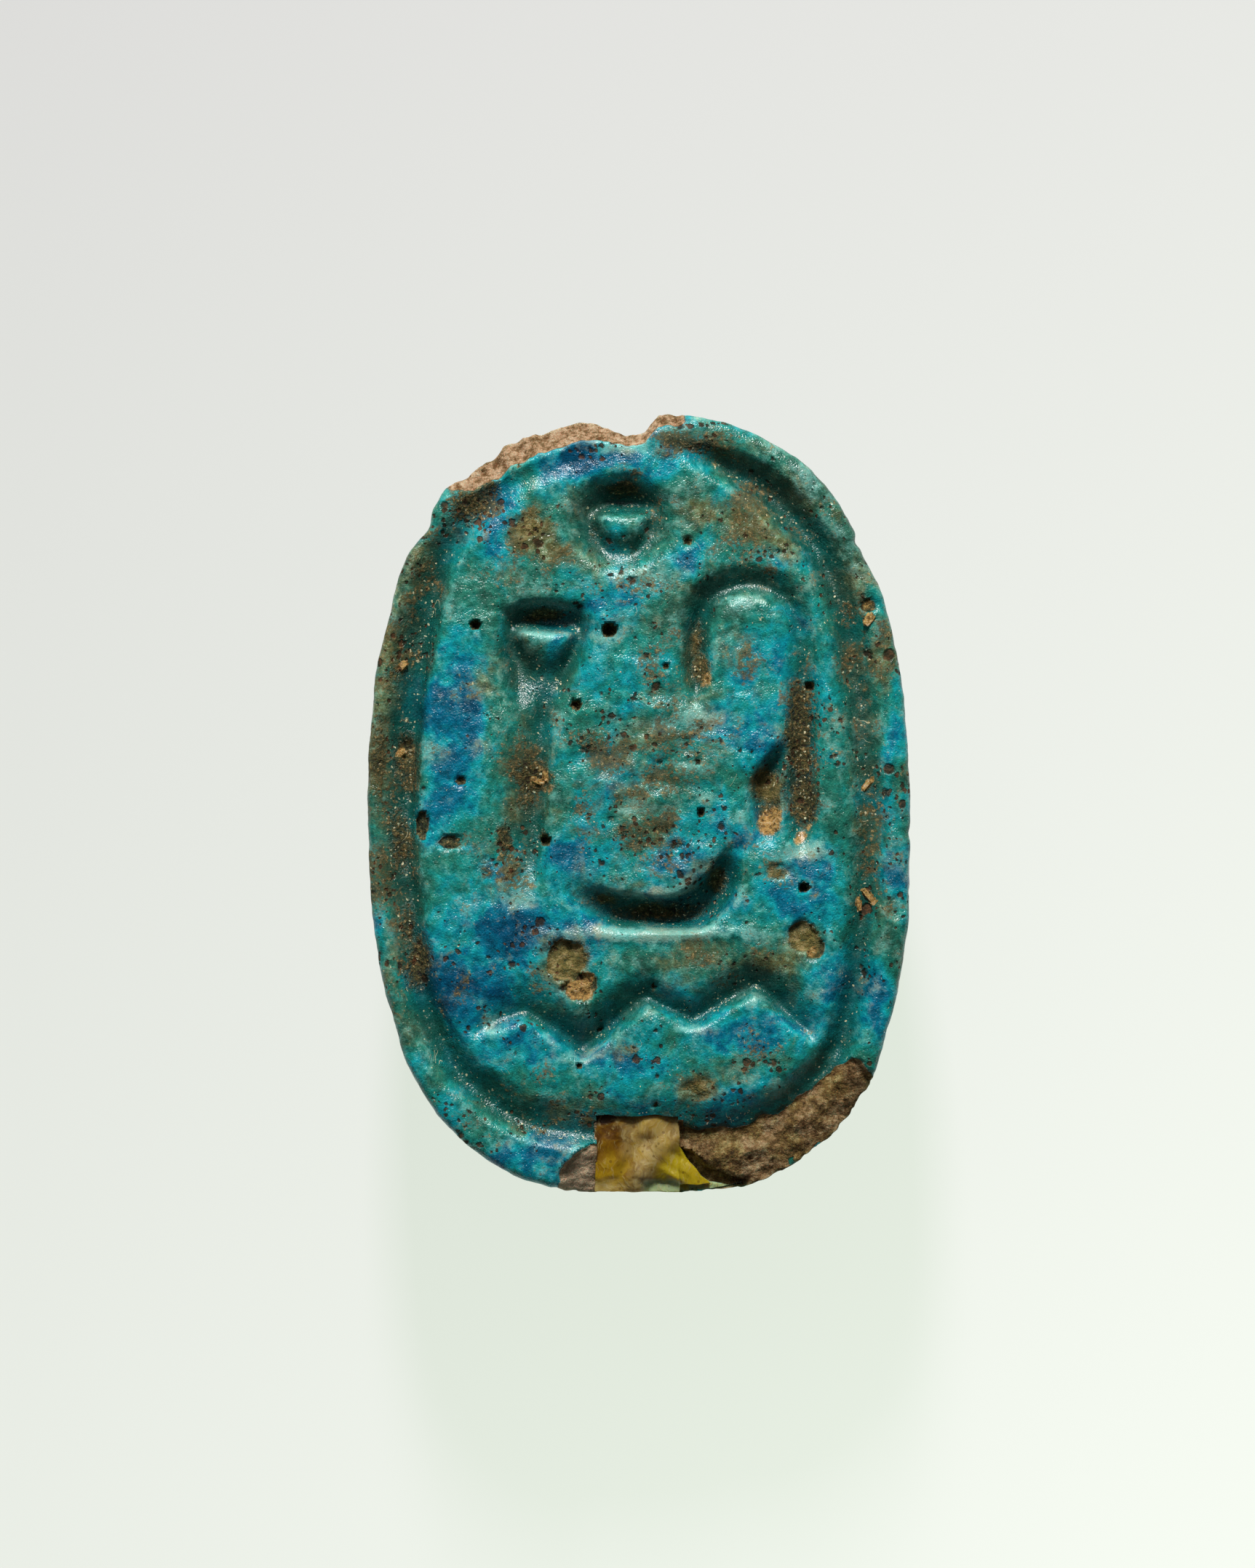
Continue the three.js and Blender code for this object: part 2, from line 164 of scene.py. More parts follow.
def nearest_on_path(x, y, path):
    """For each point: signed distance to a path (left of it is positive), and the path's other columns there."""
    best = np.full(x.shape, 1e9)
    side = np.ones(x.shape)
    carried = np.zeros(x.shape + (path.shape[1] - 2,))
    for a, b in zip(path[:-1], path[1:]):
        run = b[:2] - a[:2]
        length = float(run @ run) + 1e-12
        t = np.clip(((x - a[0]) * run[0] + (y - a[1]) * run[1]) / length, 0, 1)
        dx, dy = x - a[0] - t * run[0], y - a[1] - t * run[1]
        dist = np.hypot(dx, dy)
        near = dist < best
        best = np.where(near, dist, best)
        side = np.where(near, np.sign(run[0] * dy - run[1] * dx), side)
        carried = np.where(near[..., None], a[2:] + t[..., None] * (b[2:] - a[2:]), carried)
    return best, side, carried


# ---------------------------------------------------------------- the plate's oval


def gauge(x, y):
    """1 on the ideal oval, less inside it."""
    n = np.where(y > 0, HEAD_FULL, TAIL_FULL)
    return (np.abs(x / HALF_WIDTH) ** n + np.abs(y / HALF_LENGTH) ** n) ** (1 / n)


def oval_edge(x, y):
    """The ideal oval's point in the direction of (x, y), and its outward normal."""
    level = np.maximum(gauge(x, y), 1e-6)
    bx, by = x / level, y / level
    n = np.where(y > 0, HEAD_FULL, TAIL_FULL)
    nx = np.sign(bx) * np.abs(bx / HALF_WIDTH) ** (n - 1) / HALF_WIDTH
    ny = np.sign(by) * np.abs(by / HALF_LENGTH) ** (n - 1) / HALF_LENGTH
    size = np.hypot(nx, ny) + 1e-12
    return bx, by, nx / size, ny / size


def edge_loss(bx, by):
    """How far the real outline stands outside the ideal oval, in mm: wear, the notch, nicks and ragged breaks."""
    n = np.where(by > 0, HEAD_FULL, TAIL_FULL)
    turn = np.degrees(
        np.arctan2(
            np.sign(by) * np.abs(by / HALF_LENGTH) ** (n / 2),
            np.sign(bx) * np.abs(bx / HALF_WIDTH) ** (n / 2),
        )
    )
    loss = np.interp(turn % 360, np.arange(73) * 5.0, np.append(OUTLINE_WEAR, OUTLINE_WEAR[0]))
    notch_x = [-1.25, -1.0, -0.55, -0.3, -0.2, -0.05, 0.15, 0.42, 0.6]
    notch_loss = [0, -0.06, -0.3, -0.43, -0.47, -0.42, -0.31, -0.05, 0]
    loss = loss + np.where(by > 0, np.interp(bx, notch_x, notch_loss), 0)
    for nick_x, nick_y, wide, deep in NICKS:
        loss = loss - deep * np.exp(-(((bx - nick_x) ** 2 + (by - nick_y) ** 2) / wide**2))
    ragged = flat_noise(bx, by, 2.1, 11, 3, 0.6)
    return loss + ragged * (0.012 + 0.045 * rim_break(bx, by)[0])


# Nicks in the outline: place, width, depth.
NICKS = [(4.46, 5.36, 0.13, 0.09), (5.55, -0.62, 0.16, 0.06), (-4.36, 5.75, 0.2, 0.09), (4.25, -6.5, 0.14, 0.05)]

# Where the rim has broken: polar angle, strength, how far in it reaches, the step down, how far it falls to the edge.
RIM_BREAKS = np.array([
    (-103.0, 0.0, 0.1, 0.1, 0.0), (-101.0, 1.0, 0.75, 0.14, 0.16), (-96.5, 1.0, 1.1, 0.2, 0.22),
    (-90.0, 1.0, 1.4, 0.26, 0.3), (-83.0, 1.0, 1.4, 0.28, 0.3), (-78.0, 1.0, 1.3, 0.28, 0.28),
    (-74.0, 1.0, 1.28, 0.26, 0.26), (-66.0, 1.0, 1.12, 0.24, 0.22), (-56.0, 1.0, 0.88, 0.2, 0.2),
    (-50.5, 1.0, 0.58, 0.12, 0.16), (-48.0, 0.0, 0.2, 0.1, 0.0), (82.0, 0.0, 0.1, 0.1, 0.0),
    (84.5, 1.0, 0.26, 0.1, 0.2), (92.0, 1.0, 0.26, 0.1, 0.34), (98.0, 1.0, 0.44, 0.1, 0.46),
    (108.0, 1.0, 0.46, 0.1, 0.46), (115.0, 1.0, 0.4, 0.1, 0.4), (119.5, 1.0, 0.26, 0.1, 0.3),
    (122.0, 0.0, 0.1, 0.1, 0.0),
])


def rim_break(x, y):
    """At each point: break strength, reach, step and fall, from its polar angle."""
    angle = np.degrees(np.arctan2(y, x))
    angle = angle + 1.6 * flat_noise(x, y, 1.9, 23, 1)
    return [np.interp(angle, RIM_BREAKS[:, 0], RIM_BREAKS[:, k], left=0, right=0) for k in (1, 2, 3, 4)]


def inward(x, y):
    """Distance in from the real outline, in mm."""
    bx, by, nx, ny = oval_edge(x, y)
    return (1 - gauge(x, y)) * (bx * nx + by * ny) + edge_loss(bx, by)


# ---------------------------------------------------------------- the carving

# Strokes as rows of x, y of the deepest line, half width to its left, half width to its right, depth.
HOOK = spline_through([
    (1.12, 1.95, 0.2, 0.24, 0.04), (1.16, 2.4, 0.32, 0.32, 0.34), (1.16, 3.0, 0.34, 0.34, 0.5),
    (1.18, 3.5, 0.4, 0.36, 0.48), (1.34, 4.02, 0.48, 0.38, 0.4), (1.72, 4.36, 0.5, 0.34, 0.34),
    (2.22, 4.5, 0.46, 0.32, 0.34), (2.78, 4.38, 0.46, 0.34, 0.34), (3.16, 4.0, 0.48, 0.36, 0.32),
    (3.3, 3.4, 0.42, 0.38, 0.28), (3.34, 2.4, 0.42, 0.42, 0.34), (3.34, 1.3, 0.44, 0.42, 0.44),
    (3.32, 0.3, 0.46, 0.44, 0.48), (3.34, -0.3, 0.42, 0.44, 0.4), (3.36, -0.75, 0.36, 0.4, 0.2),
    (3.4, -1.15, 0.28, 0.3, 0.02),
], 5)
HOOK_LOBE = spline_through([
    (3.05, 1.3, 0.2, 0.2, 0.14), (2.86, 0.85, 0.3, 0.34, 0.34), (2.66, 0.4, 0.34, 0.42, 0.44),
    (2.6, -0.1, 0.34, 0.36, 0.4), (2.62, -0.5, 0.32, 0.34, 0.24), (2.66, -0.85, 0.3, 0.3, 0.02),
], 5)
BOWL = spline_through([
    (-1.3, -1.78, 0.3, 0.2, 0.08), (-0.95, -2.02, 0.44, 0.34, 0.3), (-0.5, -2.2, 0.46, 0.34, 0.52),
    (0.0, -2.26, 0.42, 0.32, 0.64), (0.6, -2.28, 0.4, 0.3, 0.68), (1.15, -2.22, 0.54, 0.34, 0.68),
    (1.56, -1.88, 0.52, 0.42, 0.6), (1.8, -1.44, 0.38, 0.38, 0.44), (1.86, -1.0, 0.2, 0.22, 0.12),
], 6)
BAR = spline_through([
    (-2.72, 3.84, 0.28, 0.2, 0.16), (-2.35, 3.8, 0.42, 0.28, 0.5), (-1.8, 3.78, 0.44, 0.3, 0.62),
    (-1.2, 3.7, 0.3, 0.2, 0.3),
], 5)
BAR_TAIL = spline_through([
    (-1.3, 3.75, 0.2, 0.2, 0.24), (-1.0, 3.66, 0.14, 0.14, 0.12), (-0.8, 3.62, 0.1, 0.1, 0.04),
], 3)
RING_TOP = spline_through([
    (-1.15, 5.85, 0.3, 0.3, 0.2), (-0.85, 6.1, 0.36, 0.24, 0.46), (-0.35, 6.2, 0.42, 0.26, 0.66),
    (0.15, 6.12, 0.38, 0.24, 0.5), (0.4, 5.85, 0.3, 0.3, 0.2),
], 5)
ZIGZAG = np.array([
    (-3.36, -4.62, 0.4, 0.14, 0.073), (-2.94, -4.46, 0.62, 0.17, 0.268), (-2.3, -4.24, 0.8, 0.18, 0.366),
    (-1.78, -4.56, 0.76, 0.2, 0.39), (-1.16, -5.02, 0.86, 0.2, 0.464), (-0.55, -4.52, 0.74, 0.2, 0.439),
    (0.12, -3.9, 0.52, 0.18, 0.415), (0.6, -4.16, 0.5, 0.18, 0.39), (1.1, -4.4, 0.52, 0.18, 0.39),
    (1.75, -4.04, 0.62, 0.18, 0.415), (2.36, -3.68, 0.68, 0.18, 0.439), (2.92, -4.14, 0.72, 0.18, 0.415),
    (3.42, -4.62, 0.54, 0.16, 0.293), (3.64, -4.92, 0.3, 0.12, 0.061),
])
STEM = spline_through([
    (-1.7, 3.1, 0.36, 0.5, 0.3), (-1.78, 2.6, 0.36, 0.55, 0.36), (-1.94, 2.0, 0.34, 0.64, 0.34),
    (-2.06, 1.2, 0.3, 0.72, 0.32), (-2.1, 0.3, 0.3, 0.78, 0.34), (-2.14, -0.6, 0.3, 0.78, 0.32),
    (-2.22, -1.3, 0.36, 0.66, 0.22), (-2.32, -1.9, 0.3, 0.4, 0.04),
], 5)
# The border line, anticlockwise from the head end: its left is its inner side.
BORDER = spline_through([
    (0.5, 7.25, 0.2, 0.2, 0.04), (-0.4, 7.2, 0.25, 0.25, 0.03), (-1.4, 6.98, 0.28, 0.28, 0.06),
    (-2.3, 6.65, 0.3, 0.3, 0.12), (-3.0, 6.2, 0.36, 0.4, 0.18), (-3.55, 5.6, 0.36, 0.5, 0.24),
    (-3.98, 4.9, 0.3, 0.6, 0.38), (-4.22, 4.0, 0.28, 0.7, 0.46), (-4.4, 3.0, 0.24, 0.78, 0.5),
    (-4.5, 2.0, 0.2, 0.82, 0.52), (-4.6, 1.0, 0.18, 0.8, 0.54), (-4.68, 0.0, 0.24, 0.76, 0.46),
    (-4.7, -1.0, 0.28, 0.72, 0.42), (-4.64, -2.0, 0.32, 0.66, 0.4), (-4.54, -3.0, 0.38, 0.58, 0.4),
    (-4.38, -3.9, 0.42, 0.52, 0.4), (-4.12, -4.7, 0.48, 0.48, 0.4), (-3.68, -5.44, 0.52, 0.4, 0.38),
    (-3.0, -6.1, 0.6, 0.36, 0.36), (-2.2, -6.56, 0.68, 0.34, 0.34), (-1.2, -6.72, 0.78, 0.34, 0.34),
    (0.0, -6.78, 0.86, 0.4, 0.36), (1.3, -6.8, 0.88, 0.5, 0.38), (2.5, -6.5, 0.74, 0.5, 0.38),
    (3.4, -5.9, 0.6, 0.42, 0.38), (4.0, -5.1, 0.5, 0.42, 0.42), (4.34, -4.0, 0.42, 0.42, 0.38),
    (4.48, -3.0, 0.42, 0.4, 0.36), (4.6, -2.0, 0.42, 0.4, 0.34), (4.68, -1.0, 0.42, 0.4, 0.32),
    (4.7, 0.0, 0.44, 0.42, 0.32), (4.62, 1.0, 0.48, 0.42, 0.32), (4.5, 2.0, 0.5, 0.44, 0.34),
    (4.36, 3.0, 0.52, 0.46, 0.36), (4.14, 4.0, 0.52, 0.46, 0.38), (3.82, 4.85, 0.52, 0.48, 0.42),
    (3.36, 5.6, 0.52, 0.5, 0.46), (2.8, 6.22, 0.5, 0.5, 0.46), (2.16, 6.7, 0.46, 0.46, 0.42),
    (1.6, 6.98, 0.4, 0.38, 0.32), (1.0, 7.18, 0.3, 0.28, 0.14), (0.5, 7.25, 0.2, 0.2, 0.04),
], 4)
# Pin holes left by bubbles, and larger broken pits: x, y, radius, depth.
PIN_HOLES = [
    (-3.33, 3.66, 0.12, 0.3), (-0.6, 3.55, 0.17, 0.4), (-1.28, 2.02, 0.13, 0.25), (1.0, 5.36, 0.12, 0.12),
    (3.37, -1.71, 0.12, 0.35), (1.27, -0.18, 0.09, 0.2), (-1.9, -0.75, 0.12, 0.3), (-3.63, 0.47, 0.13, 0.14),
    (3.5, 2.4, 0.11, 0.16), (0.55, 2.8, 0.1, 0.12), (0.3, -3.72, 0.08, 0.12), (-0.8, -4.62, 0.08, 0.12),
    (-1.22, -5.35, 0.08, 0.12), (0.35, -6.15, 0.08, 0.1), (-2.45, 6.9, 0.07, 0.1), (2.85, 5.15, 0.07, 0.08),
    (0.45, 0.85, 0.08, 0.08), (1.2, 0.86, 0.1, 0.1), (2.3, 1.05, 0.07, 0.08), (0.7, -0.85, 0.12, 0.08),
    (0.5, -2.9, 0.07, 0.06),
]
BROKEN_PITS = [
    (-1.5, -3.2, 0.46, 0.5, 0.12), (-1.18, -3.72, 0.4, 0.34, 0.13), (3.36, -2.7, 0.36, 0.36, 0.12),
    (3.6, -2.95, 0.24, 0.26, 0.1), (1.25, -5.82, 0.4, 0.26, 0.05), (2.85, -1.36, 0.3, 0.17, 0.06),
    (-3.85, -0.78, 0.3, 0.18, 0.08), (-2.2, 5.7, 0.3, 0.3, 0.04), (4.68, 4.05, 0.2, 0.18, 0.08),
    (-4.42, -0.45, 0.16, 0.34, 0.16), (-3.1, -1.25, 0.22, 0.22, 0.05), (-4.75, 1.1, 0.2, 0.24, 0.08),
    (5.25, -2.1, 0.2, 0.3, 0.05),
]
# The pressed hollow that the left mark's wedge stands in: corners in plan.
MARK_HOLLOW = [
    (-2.8, 3.95), (-1.1, 4.05), (-0.95, 3.5), (-1.15, 2.9), (-1.5, 2.0),
    (-1.7, 0.9), (-2.5, 0.9), (-2.7, 2.0), (-2.85, 3.0),
]
# The broken ledge on the right of the wax: corners in plan.
WAX_LEDGE = [(0.5, -6.95), (1.1, -7.08), (1.46, -7.42), (2.3, -7.66), (2.4, -9.0), (0.5, -9.0)]


def stroke(x, y, path, left=(2.2, 1.5), right=(2.2, 1.5)):
    """Depth cut by a stroke. Each side is (fullness, lip): fuller has a flatter floor, a larger lip a softer edge."""
    near, side, carried = nearest_on_path(x, y, path)
    on_left = side > 0
    across = np.clip(near / np.where(on_left, carried[..., 0], carried[..., 1]), 0, 1)
    fullness, lip = (np.where(on_left, left[k], right[k]) for k in (0, 1))
    return carried[..., 2] * (1 - across**fullness) ** lip


def inside_polygon(x, y, corners):
    """Signed distance to a polygon, positive inside."""
    loop = np.array(list(corners) + [corners[0]], float)
    near, _, _ = nearest_on_path(x, y, loop)
    inside = np.zeros(x.shape, bool)
    for (ax, ay), (bx, by) in zip(loop[:-1], loop[1:]):
        crosses = (ay > y) != (by > y)
        with np.errstate(divide="ignore", invalid="ignore"):
            inside ^= crosses & (x < (bx - ax) * (y - ay) / (by - ay + 1e-12) + ax)
    return np.where(inside, near, -near)


def wedge_boss(x, y, centre, top, bottom, half_wide):
    """1 on a wedge left standing: a crisp straight upper edge, soft sides that close towards the bottom."""
    share = np.clip((y - bottom) / (top - bottom), 0.02, 1)
    sides = np.abs(x - centre) / (half_wide * share**0.7)
    return ease(top + 0.07, top - 0.09, y) * ease(1.3, 0.6, sides) * ease(bottom - 0.15, bottom + 0.4, y)


def carving_scale():
    """How deep the carving is against as made."""
    return bpy.context.scene.scarab_sizes.carving


def carving(x, y):
    """Depth of all that the maker cut or pressed, in mm."""
    px = x + 0.05 * flat_noise(x, y, 1.3, 31, 1) + 0.02 * flat_noise(x, y, 4.1, 33, 1)
    py = y + 0.05 * flat_noise(x, y, 1.3, 32, 1) + 0.02 * flat_noise(x, y, 4.1, 34, 1)
    ring = np.hypot((px + 0.38) / 1.16, (py - 5.76) / 1.08)
    ring_depth = (0.46 + 0.04 * ease(5.6, 5.0, py)) * np.clip(1 - ring**3.0, 0, 1) ** 1.4
    mark_depth = 0.46 * ease(-0.16, 0.34, inside_polygon(px, py, MARK_HOLLOW)) * ease(1.1, 3.0, py)
    # wedge bosses: straight across their upper edge, narrowing and sinking to their lower end
    boss = wedge_boss(px, py, -0.34, 5.95, 4.8, 0.6) * (0.97 - 0.85 * ease(5.7, 5.0, py))
    boss_b = wedge_boss(px, py, -1.9, 3.56, 2.1, 0.62) * (0.97 - 0.9 * ease(3.4, 2.5, py))
    cuts = [
        ring_depth,
        stroke(px, py, RING_TOP, (1.6, 1.4), (2.4, 1.2)),
        mark_depth,
        stroke(px, py, BAR, (1.6, 1.4), (2.6, 1.2)),
        stroke(px, py, BAR_TAIL),
        stroke(px, py, STEM, (2.4, 1.3), (1.5, 1.3)),
        stroke(px, py, HOOK, (1.4, 1.4), (1.7, 1.5)),
        stroke(px, py, HOOK_LOBE),
        stroke(px, py, BOWL, (2.4, 1.3), (2.6, 1.2)),
        stroke(px, py, ZIGZAG, (1.25, 1.45), (2.0, 1.0)),
        stroke(px, py, BORDER, (1.5, 1.4), (1.9, 1.4)),
    ]
    deepest = sum(np.clip(cut, 0, None) ** 7 for cut in cuts) ** (1 / 7)
    return deepest * (1 - np.maximum(boss, boss_b)) * carving_scale()


def broken_faces(x, y):
    """Depth lost where the rim broke away, and how bare the body is there."""
    strength, reach, step_down, drop = rim_break(x, y)
    inset = inward(x, y)
    edge = reach * (1 + 0.14 * flat_noise(x, y, 1.4, 41, 1) + 0.07 * flat_noise(x, y, 3.5, 42, 1))
    bare = strength * ease(edge + 0.03, edge - 0.06, inset)
    slope = np.clip(1 - inset / np.maximum(edge, 0.05), 0, 1)
    rough = flat_noise(x, y, 2.6, 43, 4, 0.6)
    lost = bare * (step_down + drop * slope + 0.07 * rough)
    step = ease(-0.1, 0.12, inside_polygon(x, y, WAX_LEDGE))
    lost = np.maximum(lost, step * (0.72 + 0.05 * rough))
    return np.clip(lost, 0, None), np.maximum(bare, step)


def pits(x, y):
    """Depth of pin holes and broken pits."""
    depth = np.zeros_like(x)
    for px, py, radius, deep in PIN_HOLES:
        away = np.hypot(x - px, y - py) / radius
        depth = np.maximum(depth, deep * np.clip(1 - away**3, 0, 1))
    rough = flat_noise(x, y, 4.0, 51, 3, 0.6)
    for px, py, rx, ry, deep in BROKEN_PITS:
        away = np.hypot((x - px) / rx, (y - py) / ry) * (1 + 0.22 * rough)
        depth = np.maximum(depth, deep * ease(1.0, 0.72, away) * (1 + 0.3 * rough))
    return depth


def worn_field(x, y):
    """How much a point belongs to the worn middle of the field."""
    return soft_spot(x, y, [(0.35, 0.9, 1.7, 2.0, 1.0), (0.6, -0.8, 1.3, 0.8, 0.9), (2.2, 2.4, 0.7, 1.3, 0.6)])


def unevenness(x, y):
    """Low swells, lumps and grit of the fired surface, in mm."""
    swell = 0.04 * flat_noise(x, y, 0.6, 61, 2) - 0.05
    lumps = 0.024 * flat_noise(x, y, 1.9, 63, 3, 0.6)
    creases = 0.09 * worn_field(x, y) * flat_noise(x * 0.9, y * 1.1, 1.5, 66)
    register = 0.045 * bell(y + 2.66 - 0.02 * x, 0.14) * ease(-2.6, -1.6, x) * ease(2.9, 2.0, x)
    return swell + lumps + creases + register


_charts = {}


def soft_carving():
    """The carving drawn on a fine chart and rounded over, as wear and the glaze have rounded it."""
    if "soft" not in _charts:
        _charts["soft"] = blurred(carving(*np.meshgrid(CHART_X, CHART_Y)), CARVING_SOFT)
    return _charts["soft"]


def relief(x, y):
    """Height of the seal face above its nominal plane, in mm."""
    lost, _ = broken_faces(x, y)
    cut = chart_at(soft_carving(), x, y) * (1 - 0.6 * np.clip(lost / 0.3, 0, 1))
    left_rim = 0.05 * ease(-4.9, -5.3, x) * ease(5.0, 3.5, y) * ease(-5.0, -3.5, y)
    return unevenness(x, y) - cut - lost - pits(x, y) - left_rim


# ---------------------------------------------------------------- fields that the finishes read


def blurred(chart, radius):
    """A chart blurred by a Gaussian of this radius in mm."""
    reach = int(3 * radius / CHART_STEP)
    kernel = np.exp(-((np.arange(-reach, reach + 1) * CHART_STEP / radius) ** 2) / 2)
    kernel /= kernel.sum()
    for axis in (0, 1):
        wide = np.pad(chart, [(reach, reach) if k == axis else (0, 0) for k in (0, 1)], mode="edge")
        chart = np.apply_along_axis(lambda row: np.convolve(row, kernel, mode="valid"), axis, wide)
    return chart


def chart_at(chart, x, y):
    """A chart's value at points, between its own."""
    fx = np.clip((x - CHART_X[0]) / CHART_STEP, 0, len(CHART_X) - 1.001)
    fy = np.clip((y - CHART_Y[0]) / CHART_STEP, 0, len(CHART_Y) - 1.001)
    ix, iy = fx.astype(int), fy.astype(int)
    tx, ty = fx - ix, fy - iy
    low = chart[iy, ix] * (1 - tx) + chart[iy, ix + 1] * tx
    high = chart[iy + 1, ix] * (1 - tx) + chart[iy + 1, ix + 1] * tx
    return low * (1 - ty) + high * ty


# Soft spots on the seal face: x, y, radius x, radius y, strength.
# Soil in hollows and pits; in the darkest hollows (the bar, the top of the ring, the bowl) these spots are painted
# shade as well as soil.
SOIL_AND_SHADE_SPOTS = [
    (-4.6, 3.4, 0.3, 1.2, 0.42), (-5.0, 2.6, 0.25, 0.8, 0.55), (-4.75, 0.9, 0.35, 0.9, 0.8),
    (-4.9, -0.7, 0.4, 0.9, 0.75), (-4.5, -3.2, 0.35, 0.8, 0.95), (-4.75, -2.4, 0.25, 0.6, 0.7),
    (-5.3, 0.8, 0.3, 1.6, 0.6), (-4.6, 5.0, 0.5, 0.6, 0.5), (3.3, 1.3, 0.36, 1.3, 1.0), (3.4, 0.1, 0.42, 0.7, 1.0),
    (2.66, 0.35, 0.4, 0.5, 1.0), (2.6, -0.3, 0.3, 0.4, 0.9), (1.28, 2.8, 0.28, 0.45, 0.95),
    (1.2, 3.3, 0.24, 0.6, 0.75), (-0.95, 5.6, 0.2, 0.5, 0.5), (4.5, -0.3, 0.2, 0.5, 0.5), (4.3, 4.0, 0.2, 0.4, 0.4),
    (0.6, 7.15, 0.5, 0.2, 0.7), (-2.15, 0.62, 0.5, 0.36, 1.0), (-2.35, 0.0, 0.4, 0.5, 0.5),
    (-2.72, -0.72, 0.2, 0.42, 0.95), (-1.95, -0.7, 0.15, 0.25, 0.7), (-3.15, -1.25, 0.24, 0.24, 0.7),
    (-2.65, -1.4, 0.2, 0.2, 0.5), (-1.35, -3.15, 0.45, 0.45, 0.9), (0.4, -2.2, 1.2, 0.25, 0.9),
    (1.6, -1.6, 0.3, 0.4, 0.9), (-0.7, -1.95, 0.3, 0.2, 0.8), (-1.9, 3.9, 0.6, 0.2, 0.9),
    (-0.3, 6.4, 0.55, 0.22, 0.85), (3.42, -2.75, 0.38, 0.3, 0.75), (2.85, -1.36, 0.26, 0.16, 0.7),
    (1.25, -5.8, 0.36, 0.26, 0.75), (-2.2, 5.7, 0.32, 0.3, 0.6), (-1.0, 1.3, 0.3, 0.4, 0.6),
    (5.15, -0.4, 0.15, 0.5, 0.5), (5.2, -1.6, 0.25, 0.3, 0.5), (1.2, 7.3, 0.5, 0.2, 0.6),
    (-3.5, 6.1, 0.55, 0.45, 0.8), (-3.0, 6.5, 0.4, 0.25, 0.6), (0.9, 1.4, 0.5, 0.18, 0.55),
    (0.2, 1.1, 0.4, 0.16, 0.5), (-1.1, 1.2, 0.3, 0.3, 0.6), (0.1, 0.3, 0.5, 0.14, 0.5), (1.1, 0.35, 0.3, 0.14, 0.5),
    (-0.5, -0.6, 0.4, 0.3, 0.5), (0.8, -0.75, 0.22, 0.18, 0.7), (-0.35, -1.5, 0.35, 0.25, 0.55),
]
SAND_SPOTS = [
    (2.6, -0.42, 0.26, 0.26, 1.1), (2.78, -0.2, 0.12, 0.2, 1.0), (-1.2, -3.78, 0.3, 0.26, 1.1),
    (-1.0, -3.55, 0.16, 0.2, 1.0), (3.3, -0.7, 0.22, 0.2, 0.75), (3.5, -0.45, 0.14, 0.18, 0.6),
    (1.38, 2.5, 0.2, 0.2, 0.7), (3.6, -3.0, 0.14, 0.14, 0.7), (1.2, 1.5, 0.14, 0.1, 0.6),
    (4.68, 4.05, 0.16, 0.14, 0.6), (-1.85, 0.4, 0.14, 0.2, 0.5),
]
BLUE_SPOTS = [
    (0.4, -4.6, 0.5, 0.3, 0.35), (-1.9, -4.75, 0.4, 0.25, 0.4), (4.9, 5.0, 0.2, 0.3, 0.3), (-3.7, 1.9, 0.8, 1.2, 1.0),
    (-3.8, 0.2, 0.7, 0.9, 0.8), (-2.6, -2.7, 1.4, 0.8, 0.9), (-3.6, -3.6, 0.9, 0.9, 0.8),
    (-0.6, 6.95, 1.6, 0.35, 0.9), (-2.9, 6.3, 0.6, 0.6, 0.7), (3.0, -1.9, 0.8, 0.7, 0.7), (2.6, -4.7, 0.9, 0.6, 0.6),
    (0.0, -5.2, 1.2, 0.4, 0.5), (-2.2, -5.2, 0.6, 0.5, 0.5), (5.2, 1.4, 0.3, 0.7, 0.8), (-2.2, -7.3, 1.0, 0.4, 0.9),
    (4.9, -4.4, 0.3, 0.8, 0.5), (1.0, 4.85, 0.5, 0.3, 0.6), (1.9, 5.35, 0.4, 0.2, 0.5), (-2.6, 5.0, 0.4, 0.3, 0.5),
    (-1.5, -1.2, 0.4, 0.5, 0.6), (-1.9, 3.25, 0.4, 0.3, 0.45), (-0.34, 5.6, 0.4, 0.3, 0.35),
    (2.2, 2.2, 0.5, 0.9, 0.5), (2.3, -0.6, 0.4, 0.8, 0.4), (1.6, -4.9, 0.8, 0.4, 0.5), (-2.6, -4.8, 0.4, 0.3, 0.6),
]
